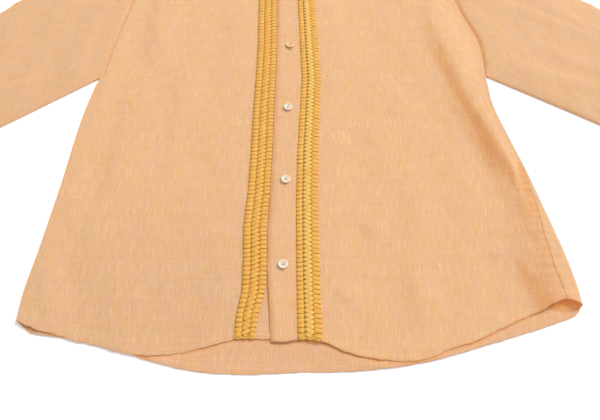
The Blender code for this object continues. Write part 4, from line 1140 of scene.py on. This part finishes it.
# The sleeves
# A long sleeve each, cut in one piece and closed by one seam under the arm, so it lies as a
# flattened tube. The end is a narrow plain hem. The grain runs along the arm.
RIGHT_SLEEVE_UNDER = [(-0.3835, 0.3168), (-0.4950, 0.2350), (-0.6240, 0.1370)]
RIGHT_SLEEVE_TOP = [(-0.3300, 0.6250), (-0.4160, 0.5545), (-0.4370, 0.5290),
                    (-0.5700, 0.3820), (-0.7005, 0.2370)]
LEFT_SLEEVE_UNDER = [(0.3840, 0.3217), (0.5000, 0.2435), (0.6160, 0.1590)]
LEFT_SLEEVE_TOP = [(0.3250, 0.6230), (0.4203, 0.5545), (0.4395, 0.5370),
                   (0.5650, 0.4010), (0.6905, 0.2650)]
# The sleeve's end at the armhole is tucked so far in under the body's edge, and starts at this
# share of the armhole
SLEEVE_TUCK = 0.0012
SLEEVE_START = 0.003
# Height of a side that is folded flat
FLAT_EDGE = 2 * CLOTH + GAP
# How far the upper layer sinks in the middle of the sleeve's length
SLEEVE_SINK = 0.0009
SLEEVE_LENGTH = 0.55
# Beside the armhole seam: the rounding of the turned-in edge, how far its cloth goes down and
# up, the reaches of the puffed cloth, of the climb and of the painted warm shade, and that painted shade
# itself
ARMHOLE_ROUND = 0.0016
ARMHOLE_DIP = 0.0006
ARMHOLE_TUCK = 0.0004
BULGE_SETS_IN = 0.009
BULGE_REACH = 0.035
CLIMB_REACH = 0.010
ARMHOLE_SHADE = 1.25
ARMHOLE_SHADE_REACH = 0.008
# The sleeves are painted in a cool shade, cooler than the fronts by this
SLEEVE_COOL_SHADE = 0.9
# The upper layer rises beside the folded edges over this. The folds on it, and what lies at the
# armhole, set in so far from a folded edge, and the folds so far from the seam.
PUFF_FROM_FOLD = 0.012
FOLDS_FROM_EDGE = 0.02
FOLDS_FROM_SEAM = 0.045
SEAM_FROM_EDGE = 0.03
SLEEVE_PUCKER = 0.8
# Share of the sleeve's length, height of the tube
SLEEVE_HEIGHT = [(0.00, 0.0025), (0.10, 0.0044), (0.30, 0.0056), (0.70, 0.0058), (1.00, 0.0050)]
# Soft folds along the sleeve: share of the width at the two ends, share of the length at the
# two ends, height, half width as a share of the sleeve's width
SLEEVE_FOLDS = [(0.12, 0.30, 0.02, 0.55, 0.0012, 0.050), (0.34, 0.52, 0.06, 0.80, 0.0010, 0.060),
                (0.62, 0.70, 0.00, 0.45, 0.0011, 0.055), (0.20, 0.16, 0.55, 0.98, 0.0009, 0.050),
                (0.80, 0.72, 0.15, 0.70, 0.0009, 0.060), (0.50, 0.40, 0.50, 1.00, 0.0007, 0.045)]
EDGE_HEIGHT = 0.0026
# Rings: the turned-in edge is finely divided, then they are evenly spread up to the hem's rows
FIRST_RINGS = [0.0, 0.0008, 0.0016, 0.0025, 0.0037]
RINGS_FROM = 0.0060
SLEEVE_RINGS = 136
SLEEVE_ACROSS = 68
SLEEVE_TURN = 6


def sleeve_relief(u, v):
    """Height of the folds of a sleeve's upper layer."""
    height = np.zeros(np.shape(u))
    for u0, u1, v0, v1, rise, wide in SLEEVE_FOLDS:
        share = min(max((v - v0) / (v1 - v0), 0.0), 1.0)
        middle = u0 + (u1 - u0) * share
        crest = rise * math.sin(math.pi * share)
        height = np.maximum(height, crest * np.exp(-((u - middle) / wide) ** 2))
    return height - SLEEVE_SINK * math.sin(math.pi * min(v / 0.9, 1.0))


def sleeve(name, node, armhole_table, under_table, top_table, outward, bulge, climb):
    """A sleeve as rings from the armhole to the end. bulge is how far the cloth puffs up beside
    the armhole seam, and climb how far it rises to the seam itself."""
    armhole = joined((smooth(armhole_table), 1.0))
    inset = np.array([outward * (FLAT_EDGE / 2 + SLEEVE_TUCK), 0.0])

    def seam(shares):
        return armhole(SLEEVE_START + (1 - SLEEVE_START) * np.atleast_1d(shares)) - inset

    lower = [tuple(armhole(SLEEVE_START)[0] - 0.4 * inset)] + under_table
    upper = [tuple(seam(1)[0])] + top_table
    plan = Pattern(seam, joined((np.array([lower[-1], upper[-1]]), 1.0)),
                   joined((smooth(lower), 1.0)), joined((smooth(upper), 1.0)))
    rows, maps, painted_light = [], [], []
    shares = np.concatenate([FIRST_RINGS,
                             np.linspace(RINGS_FROM, SLEEVE_LENGTH - HEM_ROWS[-1], SLEEVE_RINGS),
                             SLEEVE_LENGTH - np.array(HEM_ROWS[:-1][::-1])]) / SLEEVE_LENGTH
    for v in shares:
        height = column(SLEEVE_HEIGHT, v)
        edge_height = min(height, EDGE_HEIGHT)
        radius = (edge_height - CLOTH) / 2
        width = float(np.linalg.norm(plan.at(1, v) - plan.at(0, v)))
        fold = (radius + CLOTH / 2) / width
        flat = np.linspace(fold, 1 - fold, SLEEVE_ACROSS)
        angle = np.linspace(0, math.pi, SLEEVE_TURN + 2)[1:-1]
        out = radius / width * np.sin(angle)
        lift = BACK_LEVEL + radius * (1 - np.cos(angle))
        upper_u = flat[::-1]
        spots = plan.at(upper_u, v)
        reach = v * SLEEVE_LENGTH
        from_fold = np.minimum(upper_u, 1 - upper_u) * width
        swell = 1 - np.exp(-(from_fold / PUFF_FROM_FOLD) ** 1.4)
        top_z = BACK_LEVEL + 2 * radius + (height - edge_height) * swell
        loose = float(ease(0.0, FOLDS_FROM_SEAM, reach)) * ease(0.0, FOLDS_FROM_EDGE, from_fold)
        top_z = top_z + loose * (sleeve_relief(upper_u, v) + unevenness(spots[:, 0], spots[:, 1]))
        beside = max(reach - SLEEVE_TUCK, 0.0)
        puffed = (1 - math.exp(-(beside / BULGE_SETS_IN) ** 1.5)) * math.exp(-beside / BULGE_REACH)
        climbing = math.exp(-(beside / CLIMB_REACH) ** 2)
        top_z = top_z + (bulge * puffed + climb * climbing) * ease(0, SEAM_FROM_EDGE, from_fold)
        turned_in = 1 - float(ease(0.0, ARMHOLE_ROUND, reach))
        top_z = top_z + SLEEVE_PUCKER * pucker(spots[:, 1], beside) - ARMHOLE_DIP * turned_in
        under_z = np.full(SLEEVE_ACROSS, BACK_LEVEL + ARMHOLE_TUCK * turned_in)
        parts = [np.column_stack([plan.at(flat, v), under_z]),
                 np.column_stack([plan.at(1 - fold + out, v), lift]),
                 np.column_stack([spots, top_z]),
                 np.column_stack([plan.at(fold - out, v), lift[::-1]])]
        ring = np.concatenate(parts)
        ring[:, 2] += hem_lift((1 - v) * SLEEVE_LENGTH)
        ring = ring[::-outward]
        rows.append(ring)
        steps = np.linalg.norm(np.diff(np.concatenate([ring, ring[:1]]), axis=0), axis=1)
        run = np.concatenate([[0.0], np.cumsum(steps)]) - 0.5 * steps.sum()
        maps.append(np.stack([run, np.full(len(run), reach)], 1))
        # Painted warm shade beside the armhole seam, over the sleeve's painted cool shade
        shade = ARMHOLE_SHADE * math.exp(-(beside / ARMHOLE_SHADE_REACH) ** 2)
        painted_light.append(np.full(len(ring), shade - SLEEVE_COOL_SHADE))
    mesh = shirt_mesh(name, rows, maps, closed=True, painted_light=painted_light)
    piece = dress(name, mesh, linen, [node])
    return rows


right_sleeve_rows = sleeve("right_sleeve", "sleeve_right", RIGHT_ARMHOLE, RIGHT_SLEEVE_UNDER,
                           RIGHT_SLEEVE_TOP, -1, 0.0002, ARMHOLE_RISE * 0.8)
left_sleeve_rows = sleeve("left_sleeve", "sleeve_left", LEFT_ARMHOLE, LEFT_SLEEVE_UNDER,
                          LEFT_SLEEVE_TOP, 1, 0.0028, 0.0)

# The neckband
# A plain stand-up band of the same linen round the neck, open in front, lying flat and folded
# at the two neck points. It is past the picture's top edge.
NECKBAND_WIDTH = 0.0300
NECKBAND_GAP = 0.0006
NECKBAND_THICK = 0.0010
NECKBAND_BOW = 0.0002
NECKBAND_ACROSS = 12
# How far the band leans in at the two neck points, in radians, and how much more on the fronts
NECKBAND_LEAN = 0.50
NECKBAND_EASE = 0.22
radius = (FLAT_EDGE - CLOTH) / 2
fold_inset = radius + CLOTH / 2
neck_middle = (NECK_LEFT[0] + NECK_RIGHT[0]) / 2
neck_half = (NECK_LEFT[0] - NECK_RIGHT[0]) / 2


def band_section(spot, z, lean, shift):
    """One section: the band stands up the page, leaning in towards the neck's middle."""
    tilt = -(spot[0] - neck_middle) / neck_half * lean
    way = np.array([math.sin(tilt), math.cos(tilt)])
    across = np.array([math.cos(tilt), -math.sin(tilt)])
    base = np.array(spot[:2]) + way * NECKBAND_GAP + across * shift
    up = np.linspace(0, 1, NECKBAND_ACROSS + 1)
    bow = NECKBAND_BOW * np.sin(math.pi * up)
    return np.column_stack([base + way * NECKBAND_WIDTH * up[:, None], z + bow])


def band_fold(corner, turn, side):
    """A section in the fold at a neck point. side is 1 at the right one and -1 at the left one."""
    shift = side * (fold_inset - radius * math.sin(turn))
    return band_section(corner, BACK_LEVEL + radius * (1 - math.cos(turn)), NECKBAND_LEAN, shift)


# From the right front's end round the right neck point, the back and the left neck point
band_sections = []
shares = np.linspace(0, 1, 45)
turns = np.linspace(0, math.pi, 9)[1:-1]
leans = NECKBAND_LEAN + NECKBAND_EASE * np.sin(math.pi * shares)
for share, lean, spot in zip(shares, leans, along(under_neck[::-1], shares)):
    shift = fold_inset * float(ease(0.5, 1.0, share))
    band_sections.append(band_section(spot, UNDER_LEVEL, lean, shift))
band_sections += [band_fold(NECK_RIGHT, turn, 1) for turn in turns[::-1]]
for share, spot in zip(shares, along(smooth(NECK_BACK), shares)):
    shift = fold_inset * (1 - 2 * share)
    band_sections.append(band_section(spot, BACK_LEVEL, NECKBAND_LEAN, shift))
band_sections += [band_fold(NECK_LEFT, turn, -1) for turn in turns]
for share, lean, spot in zip(shares, leans, along(over_neck[::-1], shares)):
    shift = -fold_inset * (1 - float(ease(0.0, 0.5, share)))
    band_sections.append(band_section(spot, float(lap_level(spot[0])), lean, shift))
mesh = shirt_mesh("neckband_strip", band_sections, panel_grain(band_sections, 0))
neckband = dress("neckband_strip", mesh, linen, ["neckband"], thick=NECKBAND_THICK)

# The sewing
# Polyester-cotton thread in the cloth's colour: one row of small stitches along each turned
# hem and sleeve end, and along both edges of the placket and of the neckband.
STITCH_PITCH = 0.0027
STITCH_LONG = 0.0019
STITCH_HALF_WIDTH = 0.00019
STITCH_HALF_THICK = 0.00014
STITCH_LIFT = 0.00008
STITCH_SINKS = 0.0001
# A stitch is divided in four, and thinner at its ends, where it goes into the cloth
SEW_ALONG = np.array([0.0, 0.15, 0.5, 0.85, 1.0])
SEW_SWELL = np.array([0.5, 0.9, 1.0, 0.9, 0.5])
# Spun thread: its twist shows as fine lighter and darker flecks, with a slight sheen. The twist
# repeats about each 0.6 mm, 1800 times in a metre.
TWIST = 1800.0
thread, tree, shader = new_material("sewing_thread")
twist = add_node(tree, "ShaderNodeTexNoise", {"Scale": TWIST, "Detail": 1.0})
tone = add_node(tree, "ShaderNodeMix", {"Factor": twist.outputs["Fac"], "A": linear("#d9a66d"),
                                       "B": linear("#ecc490")}, data_type="RGBA")
tree.links.new(tone.outputs["Result"], shader.inputs["Base Color"])
shader.inputs["Roughness"].default_value = 0.5
shader.inputs["Sheen Weight"].default_value = 0.2


def stitch_bars(line, lift):
    """Stitches along a line of points, lying on the cloth, lift above the line."""
    line = np.array(line, float) + np.array([0, 0, lift])
    length = float(np.linalg.norm(np.diff(line, axis=0), axis=1).sum())
    bars = []
    for number in range(int(length / STITCH_PITCH)):
        start = (number + 0.15) * STITCH_PITCH
        spots = along(line, np.array([start, start + STITCH_LONG / 2, start + STITCH_LONG]) / length)
        spots[[0, 2], 2] -= math.copysign(STITCH_SINKS, lift)
        bars.append((spots, STITCH_HALF_WIDTH, STITCH_HALF_THICK))
    return bars


def sewn_mesh(name, bars):
    """A mesh of short round threads."""
    return bars_mesh(name, bars, 6, SEW_ALONG, SEW_SWELL, 1.0)


on_top = SHELL / 2 + STITCH_LIFT
hem_row = HEM_ROWS.index(HEM_STITCH)
bars = stitch_bars(back_rows[hem_row], on_top) + stitch_bars(back_rows[hem_row], -on_top)
bars += stitch_bars(under_rows[hem_row], on_top) + stitch_bars(over_rows[hem_row], on_top)
for rows in (right_sleeve_rows, left_sleeve_rows):
    ring = np.concatenate([rows[-1 - hem_row], rows[-1 - hem_row][:1]])
    # The upper layer is sewn on top, and the lower one below
    middle = ring[:, 2].min() + 0.0009
    for layer, lift in ((ring[ring[:, 2] > middle], on_top), (ring[ring[:, 2] <= middle], -on_top)):
        bars += stitch_bars(layer[np.argsort(layer[:, 0])], lift)
for share in STITCHED_SHARES:
    line = placket_rows[3:-3, PLACKET_SHARES.index(share)]
    bars += stitch_bars(line, PLACKET_THICK / 2 + STITCH_LIFT)
sections = np.array(band_sections)
for step in (1, NECKBAND_ACROSS - 1):
    bars += stitch_bars(sections[2:-2, step], NECKBAND_THICK / 2 + STITCH_LIFT)
dress("sewing_stitches", sewn_mesh("sewing_stitches", bars), thread, thick=0)

# The buttons
# Turned shell buttons, 11.4 mm: a raised rounded rim, a dished middle and four thread holes,
# sewn on the right front and passed through the worked buttonholes of the placket.
BUTTON_RADIUS = 0.0057
BUTTON_THICKNESS = 0.0023
THREAD_HOLE_RADIUS = 0.00070
THREAD_HOLE_RING = 0.00150
DRILL_SIDES = 18
BUTTON_DISH = 0.66 * BUTTON_THICKNESS
# The button's section, as shares of its radius and of its thickness: the dished middle, the
# raised rim and the rounded underside
BUTTON_SECTION = [(0.0, 0.66), (0.40, 0.67), (0.60, 0.74), (0.72, 0.95), (0.85, 1.0), (0.96, 0.84),
                  (1.0, 0.52), (0.90, 0.14), (0.62, 0.0), (0.0, 0.0)]
BUTTON_PITCH = 0.1130
BUTTON_TURN = 0.09
# The height of the first button up the page, and the closing's x there and how it slants
FIRST_BUTTON = 0.1210
CLOSING_X = -0.0205
CLOSING_SLANT = 0.0145
HONEY_BUTTON = 3
# The thread between two holes: how high over the dished middle, and from how deep it comes up
THREAD_OVER = 0.00005
THREAD_FROM = 0.0008
# A worked buttonhole: half its length, how many stitches each side has, from where to where
# they reach across, and the bars that close its ends
HOLE_HALF = 0.0066
HOLE_STITCHES = 25
HOLE_INNER = 0.00025
HOLE_OUTER = 0.0011
END_BARS_AT = 0.0070
END_BARS_PITCH = 0.00035
# How far below the button's middle the middle of its hole lies, and for the honey one
HOLE_DROP = 0.0006
HONEY_HOLE_DROP = 0.0022
# Half width and half thickness of the thread on a button, of a buttonhole stitch, of an end bar
# and of the slit's dark bar of painted shade, and how high over the cloth the last three lie
BUTTON_THREAD = (0.00013, 0.00010)
HOLE_THREAD = (0.00022, 0.00013)
BAR_THREAD = (0.00018, 0.00014)
SLIT = (0.00022, 0.00008)
HOLE_THREAD_OVER = 0.00008
BAR_OVER = 0.00012
SLIT_OVER = 0.00003
# A stitch slants up the hole by this, outwards
STITCH_SLANT = 0.0001
# The painted-shade floor of a thread hole: its share of the hole, and how far it lies below the dish
HOLE_FLOOR = 0.98
HOLE_FLOOR_DOWN = 0.1 * BUTTON_THICKNESS

# River shell, polished: cream with faint cloudy bands, a clear shine, and light that goes a
# little way in, so that the rim looks milky. The clouds are about 6 mm across.
CLOUDS = 1000 / 6.25
shell, tree, shader = new_material("polished_shell")
cloud = add_node(tree, "ShaderNodeTexNoise", {"Scale": CLOUDS, "Detail": 3.0})
band = add_node(tree, "ShaderNodeMapRange", {"Value": cloud.outputs["Fac"], "From Min": 0.35,
                                            "From Max": 0.65})
tone = add_node(tree, "ShaderNodeMix", {"Factor": band.outputs["Result"], "A": linear("#dccab2"),
                                       "B": linear("#ecdfcf")}, data_type="RGBA")
tree.links.new(tone.outputs["Result"], shader.inputs["Base Color"])
shader.inputs["Roughness"].default_value = 0.32
shader.inputs["IOR"].default_value = 1.53
shader.inputs["Subsurface Weight"].default_value = 0.2
shader.inputs["Subsurface Radius"].default_value = (1.0, 0.8, 0.5)
shader.inputs["Subsurface Scale"].default_value = 0.001
# The fourth button's shell is tinted honey, hardly lighter than the cloth, as a painted reflection of the
# cloth.
reflection_tinted_shell = shell.copy()
reflection_tinted_shell.name = "shell_with_painted_reflection"
for node in reflection_tinted_shell.node_tree.nodes:
    if node.bl_idname == "ShaderNodeMix":
        node.inputs["A"].default_value = linear("#e0b07a")
        node.inputs["B"].default_value = linear("#edc594")
# Painted shade for the slits and the thread holes: a dull dark brown that stands for cloth and shell in
# deep shade.
gap_shade, tree, shader = new_material("painted_gap_shade")
shader.inputs["Base Color"].default_value = linear("#4c3520")
shader.inputs["Roughness"].default_value = 0.95


def hole_spot(turn, quarter):
    """Place of a thread hole beside the button's middle."""
    way = turn + math.pi / 4 + quarter * math.pi / 2
    return THREAD_HOLE_RING * np.array([math.cos(way), math.sin(way)])


def button_mesh():
    """The turned blank, drilled four times."""
    section = smooth(BUTTON_SECTION, 5) * (BUTTON_RADIUS, BUTTON_THICKNESS)
    section[[0, -1], 0] = 0.0
    section[:, 0] = np.maximum(section[:, 0], 0.0)
    blank = bpy.data.meshes.new("button_section")
    edges = [(n, n + 1) for n in range(len(section) - 1)]
    blank.from_pydata([(x, 0.0, z) for x, z in section], edges, [])
    turned = bpy.data.objects.new("button_blank", blank)
    bpy.context.scene.collection.objects.link(turned)
    screw = turned.modifiers.new("turned", "SCREW")
    screw.steps = screw.render_steps = 56
    screw.use_merge_vertices = True
    screw.merge_threshold = 0.00001
    drill_verts, drill_faces = [], []
    count = DRILL_SIDES
    for quarter in range(4):
        base = len(drill_verts)
        for z in (-BUTTON_THICKNESS, 2 * BUTTON_THICKNESS):
            for step in range(count):
                way = 2 * math.pi * step / count
                spot = THREAD_HOLE_RADIUS * np.array([math.cos(way), math.sin(way)])
                drill_verts.append((*(hole_spot(0, quarter) + spot), z))
        drill_faces += [(base + n, base + (n + 1) % count, base + count + (n + 1) % count,
                         base + count + n) for n in range(count)]
        drill_faces += [tuple(range(base, base + count))[::-1],
                        tuple(range(base + count, base + 2 * count))]
    drill_mesh = bpy.data.meshes.new("drill")
    drill_mesh.from_pydata(drill_verts, [], drill_faces)
    drill = bpy.data.objects.new("drill", drill_mesh)
    bpy.context.scene.collection.objects.link(drill)
    cut = turned.modifiers.new("holes", "BOOLEAN")
    cut.object = drill
    view = bpy.context.evaluated_depsgraph_get()
    made = bpy.data.meshes.new_from_object(turned.evaluated_get(view))
    bpy.data.objects.remove(turned, do_unlink=True)
    bpy.data.objects.remove(drill, do_unlink=True)
    made.shade_smooth()
    return made


blank = button_mesh()
seat = PLACKET_LEVEL + PLACKET_THICK / 2 + GAP
places = [(f"button_{number + 1}", FIRST_BUTTON + number * BUTTON_PITCH, seat) for number in range(5)]
neck_y = min(y for _, y in NECK_FRONT) + NECKBAND_WIDTH / 2
places.append(("button_neck", neck_y, OVER_LEVEL + NECKBAND_THICK / 2 + GAP))
sewing, slit_shades = [], []
for number, (node, y, z) in enumerate(places):
    x = CLOSING_X + CLOSING_SLANT * y
    mesh = blank.copy()
    turn = BUTTON_TURN * number
    cos, sin = math.cos(turn), math.sin(turn)
    spots = np.array([vert.co for vert in mesh.vertices])
    spots[:, :2] = spots[:, :2] @ np.array([[cos, sin], [-sin, cos]])
    spots += np.array([x - MIDDLE_X, y - LENGTH / 2, z])
    mesh.vertices.foreach_set("co", spots.ravel())
    finish = reflection_tinted_shell if number == HONEY_BUTTON else shell
    dress(node + "_shell", mesh, finish, [node], thick=0)
    # One thread shows, between two of the holes
    first, last = (np.array([x, y]) + hole_spot(turn, quarter) for quarter in (1, 0))
    top = z + BUTTON_DISH
    line = [(*(first + (last - first) * share), top + over) for share, over in
            ((0.0, -THREAD_FROM), (0.15, THREAD_OVER), (0.85, THREAD_OVER), (1.0, -THREAD_FROM))]
    sewing.append((line, *BUTTON_THREAD))
    # A painted-shade floor deep in each thread hole
    for quarter in range(4):
        spot = np.array([x, y]) + hole_spot(turn, quarter)
        reach = THREAD_HOLE_RADIUS * HOLE_FLOOR
        ends = [(spot[0], spot[1] + side * reach, top - HOLE_FLOOR_DOWN) for side in (-1, 1)]
        slit_shades.append((ends, reach, 0.0001))
    # The worked buttonhole below the button
    hole_y = y - (HONEY_HOLE_DROP if number == HONEY_BUTTON else HOLE_DROP)
    cloth = z - GAP
    # The buttonhole's slit as a bar of painted shade
    ends = [(x, hole_y + side * HOLE_HALF, cloth + SLIT_OVER) for side in (-1, 1)]
    slit_shades.append((ends, *SLIT))
    for step in np.linspace(-HOLE_HALF, HOLE_HALF, HOLE_STITCHES):
        for side in (-1, 1):
            line = [(x + side * HOLE_INNER, hole_y + step, cloth + HOLE_THREAD_OVER),
                    (x + side * HOLE_OUTER, hole_y + step + STITCH_SLANT, cloth + HOLE_THREAD_OVER)]
            sewing.append((line, *HOLE_THREAD))
    for end in (-1, 1):
        for step in range(3):
            bar_y = hole_y + end * (END_BARS_AT + END_BARS_PITCH * step)
            line = [(x + side * HOLE_OUTER, bar_y, cloth + BAR_OVER) for side in (-1, 1)]
            sewing.append((line, *BAR_THREAD))
dress("button_sewing", sewn_mesh("button_sewing", sewing), thread, thick=0)
dress("buttonhole_slit_shades", sewn_mesh("buttonhole_slit_shades", slit_shades), gap_shade, thick=0)
